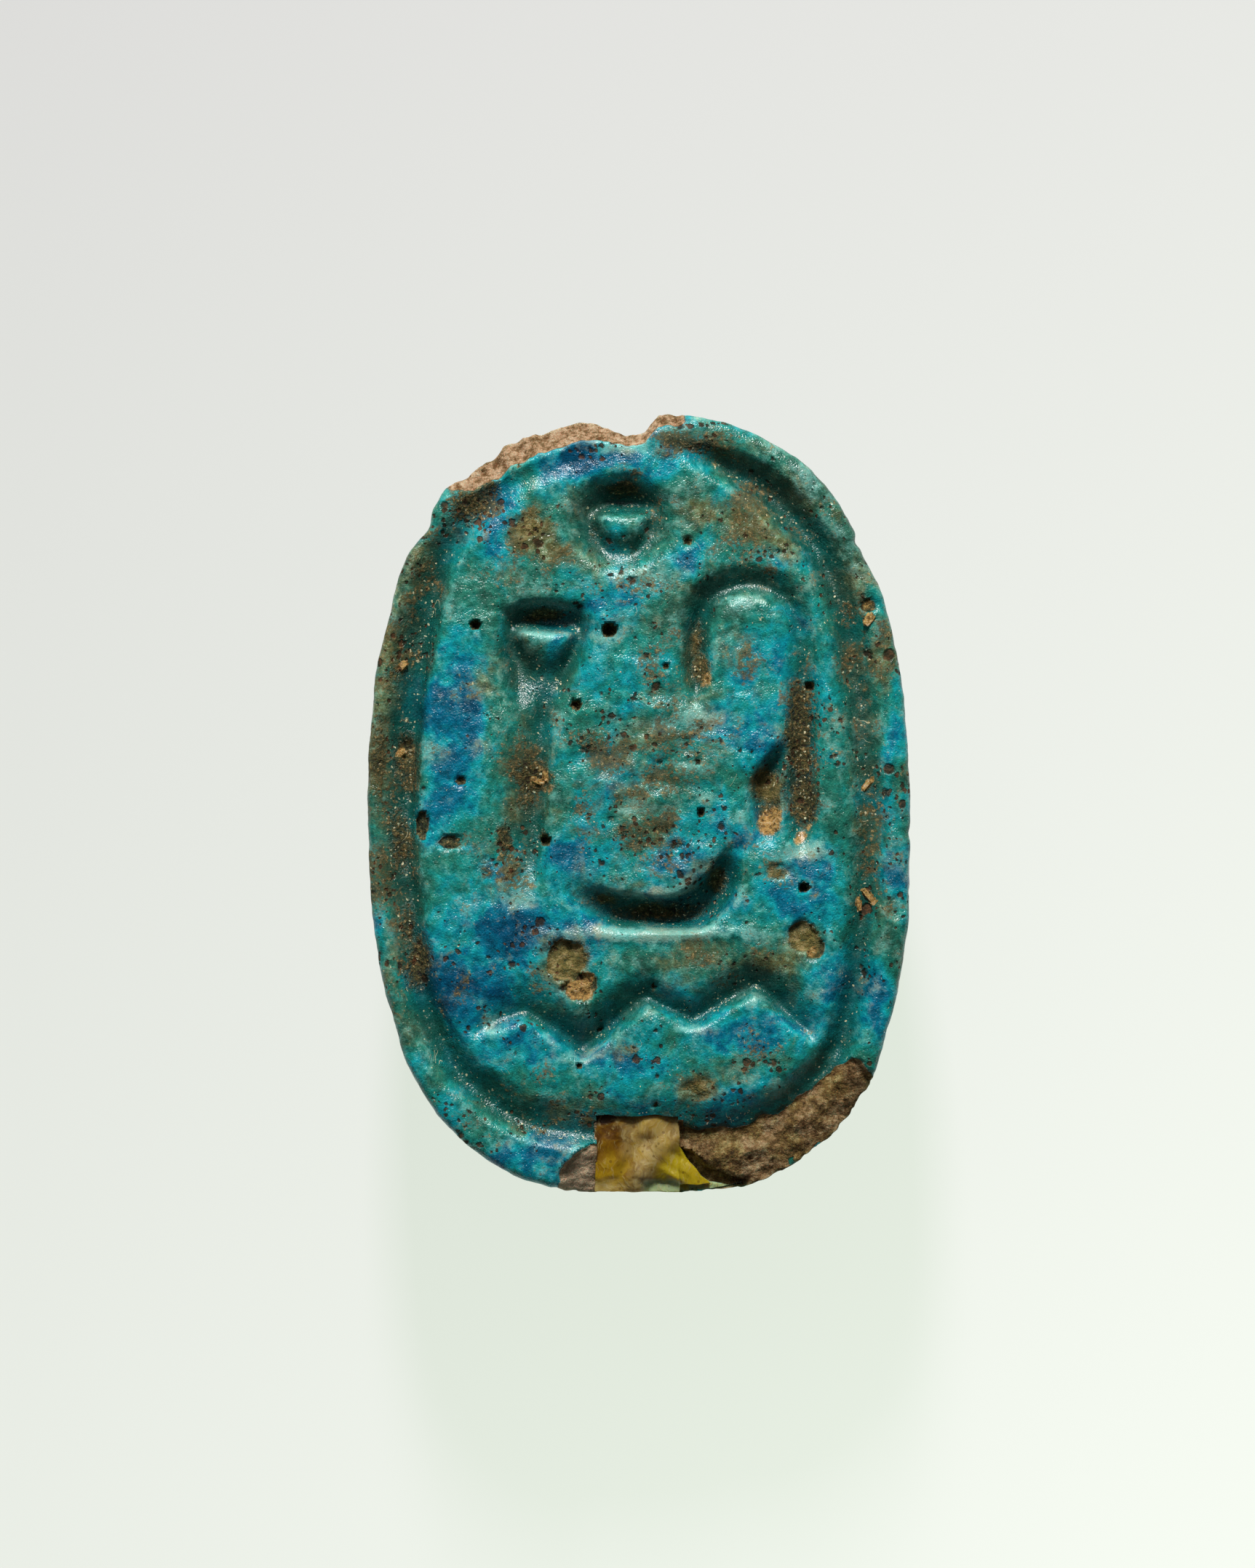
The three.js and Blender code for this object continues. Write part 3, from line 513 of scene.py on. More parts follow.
GREEN_SPOTS = [
    (5.1, 3.2, 0.4, 0.8, 0.7), (5.2, 0.3, 0.3, 0.6, 0.6), (4.9, -2.6, 0.4, 0.8, 0.5), (2.6, 7.2, 1.6, 0.4, 0.5),
    (1.2, 4.4, 0.5, 0.3, 0.5), (0.6, 3.9, 0.9, 0.3, 0.3), (-4.9, 4.2, 0.8, 1.6, 1.0), (-5.2, 1.0, 0.6, 2.0, 0.9),
    (-5.1, -2.5, 0.4, 1.5, 0.6), (-3.0, 2.2, 0.35, 1.6, 0.8), (-2.3, 0.5, 0.6, 1.6, 0.7), (-2.4, 3.0, 0.35, 0.7, 0.8),
    (-1.4, 2.6, 0.25, 0.5, 0.6), (-1.1, 5.6, 0.5, 0.8, 0.8), (0.3, 5.4, 0.4, 0.6, 0.6), (3.4, 6.4, 1.0, 0.7, 1.0),
    (4.3, 4.8, 0.7, 1.2, 0.9), (4.6, 2.0, 0.5, 2.0, 0.6), (2.5, 4.5, 1.2, 0.4, 0.7), (1.2, 3.2, 0.4, 0.8, 0.6),
    (2.2, 5.7, 1.0, 0.6, 0.9), (1.2, 5.9, 0.7, 0.7, 0.8), (3.0, 5.3, 0.5, 0.5, 0.7), (-2.2, 5.2, 0.6, 0.7, 0.6),
    (0.6, -3.2, 1.6, 0.35, 0.6), (2.6, -3.3, 0.9, 0.35, 0.6), (1.8, -5.4, 1.0, 0.4, 0.5), (0.2, 0.0, 1.2, 0.8, 0.35),
    (-4.6, -4.6, 0.6, 0.7, 0.3), (4.6, -1.5, 0.4, 1.6, 0.6), (-1.0, 6.6, 0.5, 0.3, 0.3),
]
GRIME_SPOTS = [
    (5.15, 3.0, 0.3, 0.8, 0.7), (5.2, 0.2, 0.25, 0.6, 0.8), (5.1, -1.8, 0.3, 0.7, 0.7), (-0.2, 6.7, 0.6, 0.2, 0.4),
    (0.2, 3.0, 0.5, 0.4, 0.6), (-2.4, -5.6, 0.8, 0.3, 0.5), (1.4, -6.2, 0.8, 0.3, 0.5), (-4.45, 4.6, 0.3, 0.9, 0.9),
    (-4.2, 5.6, 0.4, 0.4, 0.8), (1.9, 6.0, 0.9, 0.5, 0.8), (2.0, 4.9, 0.8, 0.3, 0.5), (2.2, 2.9, 0.5, 0.5, 0.6),
    (3.9, 6.0, 0.4, 0.5, 0.5), (-2.8, 4.6, 0.5, 0.4, 0.5), (0.1, 1.2, 1.6, 0.5, 0.8), (-0.9, -0.2, 0.6, 0.8, 0.7),
    (-5.2, 3.4, 0.6, 1.8, 0.65), (-5.3, 0.6, 0.5, 1.6, 0.8), (-5.1, -1.4, 0.5, 1.2, 0.8), (-4.9, -3.6, 0.4, 1.0, 0.6),
    (-0.9, 1.1, 0.7, 0.6, 0.9), (0.9, 1.4, 1.0, 0.5, 0.9), (0.2, 0.4, 1.2, 0.6, 0.7), (0.4, -0.7, 1.0, 0.6, 0.9),
    (0.6, 2.6, 0.8, 0.8, 0.6), (-2.3, 5.5, 0.5, 0.7, 0.9), (-1.7, 4.9, 0.5, 0.4, 0.7), (2.2, 5.6, 1.0, 0.7, 0.8),
    (2.5, 3.3, 0.5, 0.5, 0.5), (-0.4, 4.5, 1.3, 0.4, 0.5), (-3.3, 6.2, 0.7, 0.5, 1.0), (1.2, 7.4, 0.9, 0.35, 1.0),
    (2.0, 6.3, 0.8, 0.3, 0.9), (0.3, 6.0, 0.3, 0.5, 0.4), (2.6, 4.9, 0.7, 0.3, 0.5), (-2.4, 0.6, 0.5, 1.0, 0.8),
    (-2.8, -1.2, 0.7, 0.7, 0.7), (-3.3, 2.4, 0.3, 0.4, 0.5), (1.2, -3.1, 1.0, 0.35, 0.7), (2.6, -3.1, 0.6, 0.3, 0.6),
    (-1.6, -3.2, 0.8, 0.6, 0.6), (-3.6, -4.0, 0.6, 0.6, 0.6), (-0.2, -5.0, 0.5, 0.3, 0.6), (2.4, -5.0, 0.6, 0.5, 0.5),
    (1.2, -5.7, 0.7, 0.4, 0.8), (-2.0, -6.6, 1.2, 0.4, 0.6), (-1.2, -6.4, 0.7, 0.5, 0.6), (4.9, -0.5, 0.4, 1.8, 0.7),
    (4.4, 3.4, 0.5, 1.4, 0.7), (3.4, 1.2, 0.6, 1.6, 0.8), (2.8, -1.2, 0.7, 0.5, 0.6), (-3.4, -6.4, 1.2, 0.8, 0.3),
]
OCHRE_SPOTS = [
    (1.9, 6.0, 0.6, 0.25, 0.25), (2.9, 5.4, 0.25, 0.3, 0.35), (2.9, -3.3, 0.5, 0.2, 0.4), (1.15, 3.3, 0.16, 0.5, 0.4),
    (-1.5, -3.2, 0.5, 0.55, 1.0), (3.4, -2.78, 0.42, 0.42, 1.0), (1.25, -5.82, 0.4, 0.26, 0.9),
    (2.85, -1.36, 0.3, 0.17, 0.8), (2.62, 0.3, 0.36, 0.5, 0.7), (-2.2, 5.6, 0.3, 0.4, 0.8),
    (-1.9, 5.1, 0.3, 0.2, 0.5), (-3.15, 2.3, 0.2, 0.5, 0.45), (2.1, 3.3, 0.3, 0.3, 0.4), (2.6, 5.7, 0.4, 0.3, 0.4),
    (-2.8, -1.6, 0.4, 0.5, 0.4), (-1.2, -6.25, 0.6, 0.35, 0.5), (-0.2, -4.95, 0.3, 0.2, 0.5),
    (-5.1, 2.6, 0.3, 1.0, 0.3), (4.5, -0.4, 0.3, 0.4, 0.4), (1.5, -1.3, 0.3, 0.3, 0.5), (-0.5, -1.9, 0.4, 0.3, 0.5),
]
# Many of these spots are narrow strips on the lower lips of the carving and on slopes facing the key lamp: their
# paleness is painted highlight as well as thin glaze.
MILKY_AND_HIGHLIGHT_SPOTS = [
    (0.3, -2.66, 2.2, 0.14, 1.2), (0.4, 1.62, 0.5, 0.16, 0.8), (-0.2, -0.1, 0.3, 0.12, 0.8),
    (0.5, -0.1, 0.4, 0.12, 0.6), (1.5, 0.2, 0.3, 0.14, 0.7), (-0.5, 1.75, 0.4, 0.12, 0.5), (0.9, 0.75, 0.4, 0.1, 0.6),
    (-0.9, -0.5, 0.2, 0.14, 0.5), (1.9, -0.3, 0.2, 0.3, 0.5), (-2.4, -1.95, 0.5, 0.22, 0.9),
    (3.35, -1.0, 0.5, 0.22, 1.0), (-2.9, -4.5, 0.4, 0.14, 0.5), (-0.9, -5.15, 0.8, 0.2, 0.6),
    (1.2, 1.75, 0.6, 0.25, 0.8), (-1.9, 3.5, 0.5, 0.1, 0.5), (-0.3, 5.86, 0.4, 0.1, 0.4),
    (2.25, 4.12, 0.4, 0.1, 0.35), (0.5, -1.75, 0.8, 0.12, 0.7), (-0.2, 7.2, 0.9, 0.14, 0.9),
    (0.1, 4.65, 1.0, 0.14, 0.6), (2.35, -3.9, 0.4, 0.15, 0.6), (-2.3, -6.9, 1.2, 0.16, 0.5),
    (1.2, -4.62, 0.5, 0.12, 0.6), (0.1, -4.15, 0.3, 0.12, 0.5), (-3.3, 2.0, 0.3, 1.3, 0.35),
]


# What the glazed finish reads at each point: how deep in the carving, on a lip, bare of glaze, under soil, sand or
# ochre, how blue (or, below 0, green), how milky, and how much under a film of grime. Lips and milky spots are
# lightened partly as painted highlight, and soil in the darkest hollows is partly painted shade.
FIELDS = ("hollow", "lip", "bare", "soil", "sand", "ochre", "hue", "milky", "grime")
LIP_REACH, LIP_FULL = 0.17, 0.07  # a lip stands this high over what is around it
HOLLOW_FULL = 0.38  # depth at which a hollow counts in full


def paint_fields(body):
    """Stores on the body's points the fields that its finish reads."""
    x, y, z = (points_of(body) / MM).T
    # the spots wander, so none is round
    drift_x, drift_y = (0.32 * flat_noise(x, y, 0.9, seed, 4, 0.6) for seed in (201, 211))
    wide_x, wide_y, near_x, near_y = x + drift_x, y + drift_y, x + 0.35 * drift_x, y + 0.35 * drift_y
    gx, gy = np.meshgrid(CHART_X, CHART_Y)
    height = relief(gx, gy)
    cut_chart = blurred(carving(gx, gy), 0.08)
    bare_chart = broken_faces(gx, gy)[1]
    pitted = ease(0.03, 0.09, chart_at(pits(gx, gy), x, y))
    proud = chart_at(height - blurred(height, LIP_REACH), x, y)
    top = ease(FACE_Z - 1.25, FACE_Z - 0.75, z)
    uneven = 0.5 * layered_noise(x, y, z, 0.9, 221, 4, 0.6)
    side = ease(PLATE_UNDER + 0.35, PLATE_UNDER + 0.6, z + uneven)
    fields = {
        "hollow": top * np.clip(chart_at(cut_chart, x, y) / HOLLOW_FULL, 0, 1),
        "lip": top * np.clip(proud / LIP_FULL, 0, 1),
        "bare": side * chart_at(bare_chart, x + 0.5 * uneven * (1 - ease(6.2, 6.5, z)), y),
        # in the darkest hollows this soil is painted shade as well as soil
        "soil": top * np.maximum(soft_spot(near_x, near_y, SOIL_AND_SHADE_SPOTS), pitted),
        "sand": top * np.maximum(soft_spot(near_x, near_y, SAND_SPOTS), on_grain(x, y)),
        "ochre": top * soft_spot(near_x, near_y, OCHRE_SPOTS),
        "hue": top * (soft_spot(wide_x, wide_y, BLUE_SPOTS) - soft_spot(wide_x, wide_y, GREEN_SPOTS)),
        # painted highlight as well as thin glaze: lit lips and slopes are made paler here
        "milky": top * soft_spot(near_x, near_y, MILKY_AND_HIGHLIGHT_SPOTS),
        "grime": top * soft_spot(wide_x, wide_y, GRIME_SPOTS) + 0.35 * (1 - top),
    }
    in_seat = (y < -6.3) & (np.abs(x) < 0.93) & (z < FACE_Z - 0.3) & (z > 4.3)
    in_bore = np.hypot(x, z - BORE_Z) < BORE_RADIUS + 0.15
    fields["bare"] = np.where(in_seat | in_bore, 1.0, fields["bare"])
    store_fields(body.data, fields)


# ---------------------------------------------------------------- modelling helpers


def deselect():
    """Leaves object mode with nothing selected."""
    if bpy.context.object and bpy.context.object.mode != "OBJECT":
        bpy.ops.object.mode_set(mode="OBJECT")
    bpy.ops.object.select_all(action="DESELECT")


def only(obj):
    """Selects one object and makes it active."""
    deselect()
    obj.select_set(True)
    bpy.context.view_layer.objects.active = obj


def new_shape(operator, **settings):
    """Runs an operator that adds an object, and returns the object."""
    deselect()
    operator(**settings)
    return bpy.context.object


def read_rows(collection, key):
    """A vector of every item in a collection, a row each."""
    values = np.empty(len(collection) * 3)
    collection.foreach_get(key, values)
    return values.reshape(-1, 3)


def points_of(obj):
    return read_rows(obj.data.vertices, "co")


def normals_of(obj):
    return read_rows(obj.data.vertex_normals, "vector")


def set_points(obj, co):
    obj.data.vertices.foreach_set("co", np.asarray(co, float).ravel())
    obj.data.update()


def remesh(obj, size):
    """Runs what overlaps in a mesh together, with cells of this size."""
    only(obj)
    obj.data.remesh_voxel_size = size
    bpy.ops.object.voxel_remesh()


def store_fields(mesh, fields):
    """Keeps named values on a mesh's points for its finish to read."""
    for name, values in fields.items():
        layer = mesh.attributes.new(name, "FLOAT", "POINT")
        layer.data.foreach_set("value", np.clip(values, -1, 1).astype(np.float32))


def apply_modifier(obj, kind, **settings):
    """Adds a modifier with its settings and applies it."""
    only(obj)
    modifier = obj.modifiers.new(kind.lower(), kind)
    for key, value in settings.items():
        setattr(modifier, key, value)
    bpy.ops.object.modifier_apply(modifier=modifier.name)


def cut_or_join(obj, other, operation):
    """Boolean of two closed meshes; the other one is used up."""
    apply_modifier(obj, "BOOLEAN", object=other, operation=operation, solver="MANIFOLD")
    bpy.data.objects.remove(other, do_unlink=True)


def join_all(objects, name):
    """Joins objects into the first, under a name."""
    deselect()
    for obj in objects:
        obj.select_set(True)
    bpy.context.view_layer.objects.active = objects[0]
    bpy.ops.object.join()
    objects[0].name = objects[0].data.name = name
    return objects[0]


def on_all_faces(obj, operator, **settings):
    """Runs a mesh operator on a whole object."""
    only(obj)
    bpy.ops.object.mode_set(mode="EDIT")
    bpy.ops.mesh.select_all(action="SELECT")
    operator(**settings)
    bpy.ops.object.mode_set(mode="OBJECT")


def face_outward(obj):
    """Turns every face of a closed mesh outwards."""
    on_all_faces(obj, bpy.ops.mesh.normals_make_consistent, inside=False)


def set_down(obj, name, angle=40.0):
    """Scales a finished piece from millimetres to metres, in its mesh, and smooths its shading."""
    obj.name = obj.data.name = name
    set_points(obj, points_of(obj) * MM)
    only(obj)
    bpy.ops.object.shade_smooth_by_angle(angle=math.radians(angle))


def rough_block(low, high, cuts, swing, seed):
    """A block with broken-looking faces, used to cut with or to build from."""
    low, high = np.array(low, float), np.array(high, float)
    block = new_shape(bpy.ops.mesh.primitive_cube_add, size=2)
    on_all_faces(block, bpy.ops.mesh.subdivide, number_cuts=cuts)
    co = (points_of(block) + 1) / 2 * (high - low) + low
    for axis in range(3):
        co[:, axis] += swing * layered_noise(*co.T, 1.7, seed + 10 * axis, 3, 0.6)
    set_points(block, co)
    return block


def lengthwise_rod(sides, radius, length, middle_y, middle_z):
    """A round rod along the amulet's length."""
    settings = {"vertices": sides, "radius": radius, "depth": length, "end_fill_type": "NGON"}
    rod = new_shape(bpy.ops.mesh.primitive_cylinder_add, **settings)
    x, y, z = points_of(rod).T
    set_points(rod, np.stack([x, z + middle_y, y + middle_z], axis=1))
    return rod


# ---------------------------------------------------------------- the beetle

# Superellipsoids: centre y and z, half sizes, fullness in plan and in profile.
BEETLE = (
    (-1.35, 5.5, (4.93, 6.05, 2.75), 2.5, 3.2),  # flank
    (4.4, 5.5, (3.75, 3.05, 1.35), 2.3, 3.2),  # neck
    (-2.3, 3.5, (4.85, 5.3, 3.6), 2.5, 2.3),  # wing cases
    (2.3, 3.3, (4.5, 2.5, 3.34), 2.6, 2.3),  # thorax
    (4.75, 4.3, (2.2, 1.65, 2.2), 2.4, 2.5),  # head
    (6.15, 4.75, (1.95, 1.4, 1.25), 2.2, 2.6),  # brow
)
EYES = [(2.1, 5.0, 3.75), (-2.1, 5.0, 3.75)]
EYE_RADIUS = 0.55
LEG_RADIUS = 0.42
LEG_PATHS = [
    [(4.35, 3.1, 3.5), (4.1, 4.5, 4.1), (3.4, 5.9, 4.8), (2.6, 6.75, 5.2)],
    [(4.75, 1.9, 3.3), (5.0, 0.4, 3.9), (5.04, -1.2, 4.65), (4.95, -2.2, 5.2)],
    [(4.9, -2.0, 3.2), (4.9, -3.5, 3.8), (4.4, -5.3, 4.65), (3.5, -6.4, 5.2)],
]
BEETLE_VOXEL = 0.085
BEETLE_OVERLAP = 0.35  # how far the beetle's paste stands up into the plate
LID_HALF = (9, 12, 5)  # half sizes of the block that cuts it off there


def signed_power(value, power):
    return np.sign(value) * np.abs(value) ** power


def superellipsoid(centre_y, centre_z, half, plan, profile):
    """A ball whose plan and profile are filled out."""
    ball = new_shape(bpy.ops.mesh.primitive_uv_sphere_add, segments=72, ring_count=40, radius=1)
    co = points_of(ball)
    turn = np.arctan2(co[:, 1], co[:, 0])
    lift = np.arcsin(np.clip(co[:, 2], -1, 1))
    reach = signed_power(np.cos(lift), 2 / profile)
    co[:, 0] = half[0] * reach * signed_power(np.cos(turn), 2 / plan)
    co[:, 1] = centre_y + half[1] * reach * signed_power(np.sin(turn), 2 / plan)
    co[:, 2] = centre_z + half[2] * signed_power(np.sin(lift), 2 / profile)
    set_points(ball, co)
    return ball


def leg_beads(path, side):
    """A leg as a close row of beads that the remesh runs together."""
    rows = spline_through([(side * px, py, pz) for px, py, pz in path], 6)
    first = new_shape(bpy.ops.mesh.primitive_ico_sphere_add, subdivisions=3, radius=LEG_RADIUS, location=rows[0])
    bpy.ops.object.transform_apply(location=True)
    beads = [first]
    for row in rows[1:]:
        bead = first.copy()
        bead.data = first.data.copy()
        set_points(bead, points_of(first) + (row - rows[0]))
        bpy.context.collection.objects.link(bead)
        beads.append(bead)
    return beads


def engrave_back(beetle):
    """Cuts the beetle's lines, roughens it, and gives the crown its worn flats."""
    co, no = points_of(beetle), normals_of(beetle)
    x, y, z = co.T
    under = ease(4.6, 3.6, z)
    # the line between the wing cases, and the double line across their front
    seam = 0.15 * bell(x, 0.1) * ease(0.0, -0.35, y) * under
    wings_front, thorax_rear = y - (-0.28 + 0.035 * x**2), y - (0.62 + 0.02 * x**2)
    collar = 0.11 * bell(wings_front, 0.09) * ease(4.3, 3.6, np.abs(x)) * under
    collar_b = 0.09 * bell(thorax_rear, 0.08) * ease(4.3, 3.6, np.abs(x)) * under
    # the shoulder notches
    shoulders = 0.0
    for side in (1, -1):
        for a, b in (((3.75, -0.25), (3.0, -1.5)), ((3.0, -1.5), (3.95, -2.1))):
            t = np.clip(((x - side * a[0]) * side * (b[0] - a[0]) + (y - a[1]) * (b[1] - a[1])), 0, None)
            length = (b[0] - a[0]) ** 2 + (b[1] - a[1]) ** 2
            t = np.clip(t / length, 0, 1)
            away = np.hypot(x - side * (a[0] + t * (b[0] - a[0])), y - (a[1] + t * (b[1] - a[1])))
            shoulders = np.maximum(shoulders, 0.12 * bell(away, 0.11))
    shoulders = shoulders * under
    # the brow's teeth and the head's ridges
    rays = np.abs(np.sin(3.1 * np.arctan2(x, np.maximum(y - 4.2, 0.05))))
    brow = 0.13 * ease(0.32, 0.0, rays) * ease(6.0, 6.9, y) * ease(5.5, 5.0, z)
    mid = 0.08 * bell(np.abs(np.abs(x) - 0.75), 0.1) * ease(5.1, 5.4, y) * ease(6.5, 6.1, y) * under
    # hatching on the legs
    hatch = 0.0
    for path in LEG_PATHS:
        for side in (1, -1):
            rows = np.array([(side * px, py, pz) for px, py, pz in path])
            for a, b in zip(rows[:-1], rows[1:]):
                run = b - a
                t = ((co - a) @ run) / (run @ run)
                inside = (t > 0) & (t < 1)
                away = np.linalg.norm(co - a - np.clip(t, 0, 1)[:, None] * run, axis=1)
                along = t * np.linalg.norm(run)
                line = ease(0.3, 0.95, np.cos(2 * np.pi * along / 0.36))
                hatch = np.maximum(hatch, 0.022 * line * inside * ease(0.6, 0.45, away))
    rough = 0.03 * layered_noise(x, y, z, 0.6, 71, 2) + 0.014 * layered_noise(x, y, z, 2.4, 73, 3, 0.55)
    chip = 0.07 * ease(0.62, 0.74, layered_noise(x, y, z, 0.9, 77, 2))
    co = co + no * (rough - seam - collar - collar_b - shoulders - brow - mid - hatch - chip)[:, None]
    co[:, 2] = np.maximum(co[:, 2], 0.0)
    set_points(beetle, co)


def model_beetle(detail):
    """The beetle's body, legs and head, run together as modelled paste."""
    parts = [superellipsoid(*form) for form in BEETLE]
    for place in EYES:
        ball = {"segments": 32, "ring_count": 20, "radius": EYE_RADIUS, "location": place}
        parts.append(new_shape(bpy.ops.mesh.primitive_uv_sphere_add, **ball))
        bpy.ops.object.transform_apply(location=True)
    for path in LEG_PATHS:
        for side in (1, -1):
            parts.extend(leg_beads(path, side))
    beetle = join_all(parts, "beetle")
    remesh(beetle, detail)
    # the upper half is inside the plate: it ends just above the plate's underside
    lid = new_shape(bpy.ops.mesh.primitive_cube_add, size=2)
    set_points(lid, points_of(lid) * LID_HALF + (0, 0, PLATE_UNDER + BEETLE_OVERLAP + LID_HALF[2]))
    cut_or_join(beetle, lid, "DIFFERENCE")
    apply_modifier(beetle, "SMOOTH", factor=0.5, iterations=3)
    engrave_back(beetle)
    apply_modifier(beetle, "DECIMATE", ratio=0.5)
    return beetle


# ---------------------------------------------------------------- the plate

CELLS_X, CELLS_Y = 188, 270
# Rows down the plate's edge: inset from the outline, height above the plate's underside.
EDGE_ROWS = (
    [(ARRIS * (1 - math.sin(a)), PLATE_THICK - ARRIS * (1 - math.cos(a))) for a in np.radians([22, 45, 67, 90])]
    + [(0.0, h) for h in (1.0, 0.86, 0.72, 0.58, 0.44, 0.3)]
    + [(0.16 * (1 - math.cos(a)), 0.16 * (1 - math.sin(a))) for a in np.radians([30, 60, 90])]
    + [(0.5, 0.0), (0.9, 0.04)]
)


def model_plate():
    """The oval plate with its seal face: a fine grid drawn out to the oval, its border extruded down the edge."""
    plate = new_shape(bpy.ops.mesh.primitive_grid_add, x_subdivisions=CELLS_X, y_subdivisions=CELLS_Y, size=2)
    bpy.ops.object.mode_set(mode="EDIT")
    bpy.ops.mesh.select_mode(type="EDGE")
    bpy.ops.mesh.select_all(action="DESELECT")
    grid = bmesh.from_edit_mesh(plate.data)
    for edge in grid.edges:
        edge.select = edge.is_boundary
    bmesh.update_edit_mesh(plate.data)
    for _ in EDGE_ROWS:
        bpy.ops.mesh.extrude_edges_move(TRANSFORM_OT_translate={"value": (0, 0, -1)})
    bpy.ops.mesh.edge_face_add()
    bpy.ops.object.mode_set(mode="OBJECT")

    co = points_of(plate)
    u, v, row = co[:, 0], co[:, 1], np.rint(-co[:, 2]).astype(int)
    level = np.maximum(np.abs(u), np.abs(v))
    full = np.where(v > 0, HEAD_FULL, TAIL_FULL) + 14 * (1 - level) ** 2
    spread = (np.abs(u) ** full + np.abs(v) ** full) ** (1 / full)
    spread = np.where(spread < 1e-9, 1, spread)
    x, y = HALF_WIDTH * u * level / spread, HALF_LENGTH * v * level / spread
    bx, by, nx, ny = oval_edge(x, y)
    loss = edge_loss(bx, by)
    shift = ease(0.78, 1.0, level)
    inset = np.concatenate([[ARRIS], [r[0] for r in EDGE_ROWS]])[row]
    push = loss * shift - inset * np.where(row == 0, shift, 1)
    x, y = x + nx * push, y + ny * push
    rise = np.concatenate([[PLATE_THICK], [r[1] for r in EDGE_ROWS]])[row]
    fade = np.where(row == 0, 1.0, np.clip(1 - (row - 1) / 8.0, 0, 1))
    height = relief(x, y)
    z = PLATE_UNDER + rise + height * fade
    z = np.where(row > 12, PLATE_UNDER + rise, z)
    # the edge itself is slightly lumpy
    lumpy = np.where((row > 2) & (row < 14), 0.022 * layered_noise(x, y, z, 1.6, 81), 0)
    set_points(plate, np.stack([x + nx * lumpy, y + ny * lumpy, z], axis=1))
    face_outward(plate)
    return plate


# Grit stuck on the face: the ends of each bit, and its half width.
GRAINS = [
    (4.6, 0.32, 4.76, 0.48, 0.035), (4.62, -1.78, 4.8, -2.0, 0.042), (4.48, -1.94, 4.52, -2.14, 0.03),
    (-4.9, 1.02, -4.86, 1.06, 0.05), (-4.86, 2.8, -4.8, 2.86, 0.055), (4.66, 3.72, 4.72, 3.8, 0.07),
    (-2.18, 0.5, -2.02, 0.42, 0.03), (-1.92, 0.62, -1.9, 0.5, 0.03),
]


def model_grains():
    """Bits of grit on the seal face, half sunk in it."""
    grains = []
    for i, (ax, ay, bx, by, half) in enumerate(GRAINS):
        length = math.hypot(bx - ax, by - ay) / 2 + half
        grain = rough_block((-length, -half, -0.05), (length, half, 0.05), 4, 0.016, 301 + 7 * i)
        co = points_of(grain)
        turn = math.atan2(by - ay, bx - ax)
        mid = np.array([[(ax + bx) / 2, (ay + by) / 2]])
        lift = FACE_Z + relief(mid[:, 0], mid[:, 1])[0]
        x = co[:, 0] * math.cos(turn) - co[:, 1] * math.sin(turn) + mid[0, 0]
        y = co[:, 0] * math.sin(turn) + co[:, 1] * math.cos(turn) + mid[0, 1]
        set_points(grain, np.stack([x, y, co[:, 2] + lift], axis=1))
        face_outward(grain)
        grains.append(grain)
    return join_all(grains, "grit")


def on_grain(x, y):
    """1 on the bits of grit."""
    out = np.zeros_like(x)
    for ax, ay, bx, by, half in GRAINS:
        near, _, _ = nearest_on_path(x, y, np.array([(ax, ay), (bx, by)]))
        out = np.maximum(out, (near < half + 0.03) * 1.0)
    return out


SEAT_LOW, SEAT_HIGH = (-0.87, -9.0, 5.0), (0.82, -6.38, 9.0)
BORE_RADIUS, BORE_Z = 0.75, 4.95


def pierce(body, radius):
    """The string hole, and the broken-out mouth at its tail end."""
    drill = lengthwise_rod(40, radius, 20, 0, BORE_Z)
    face_outward(drill)
    cut_or_join(body, drill, "DIFFERENCE")
    seat = rough_block(SEAT_LOW, SEAT_HIGH, 30, 0.035, 91)
    face_outward(seat)
    cut_or_join(body, seat, "DIFFERENCE")


# ---------------------------------------------------------------- the wax


# The pale swirl that stands up on the plug's face, and the outer edge of the lump on its right: x at each y.
SWIRL = spline_through([(0.3, -6.62), (0.5, -6.78), (0.4, -7.02), (0.24, -7.25), (0.1, -7.5), (-0.02, -7.72)], 5)
LUMP_Y, LUMP_X = [-7.8, -7.62, -7.5, -7.3, -7.05, -6.95], [1.52, 1.27, 1.2, 1.0, 0.86, 0.72]
WAX_FIELDS = ("pale", "yellow", "green", "brown")


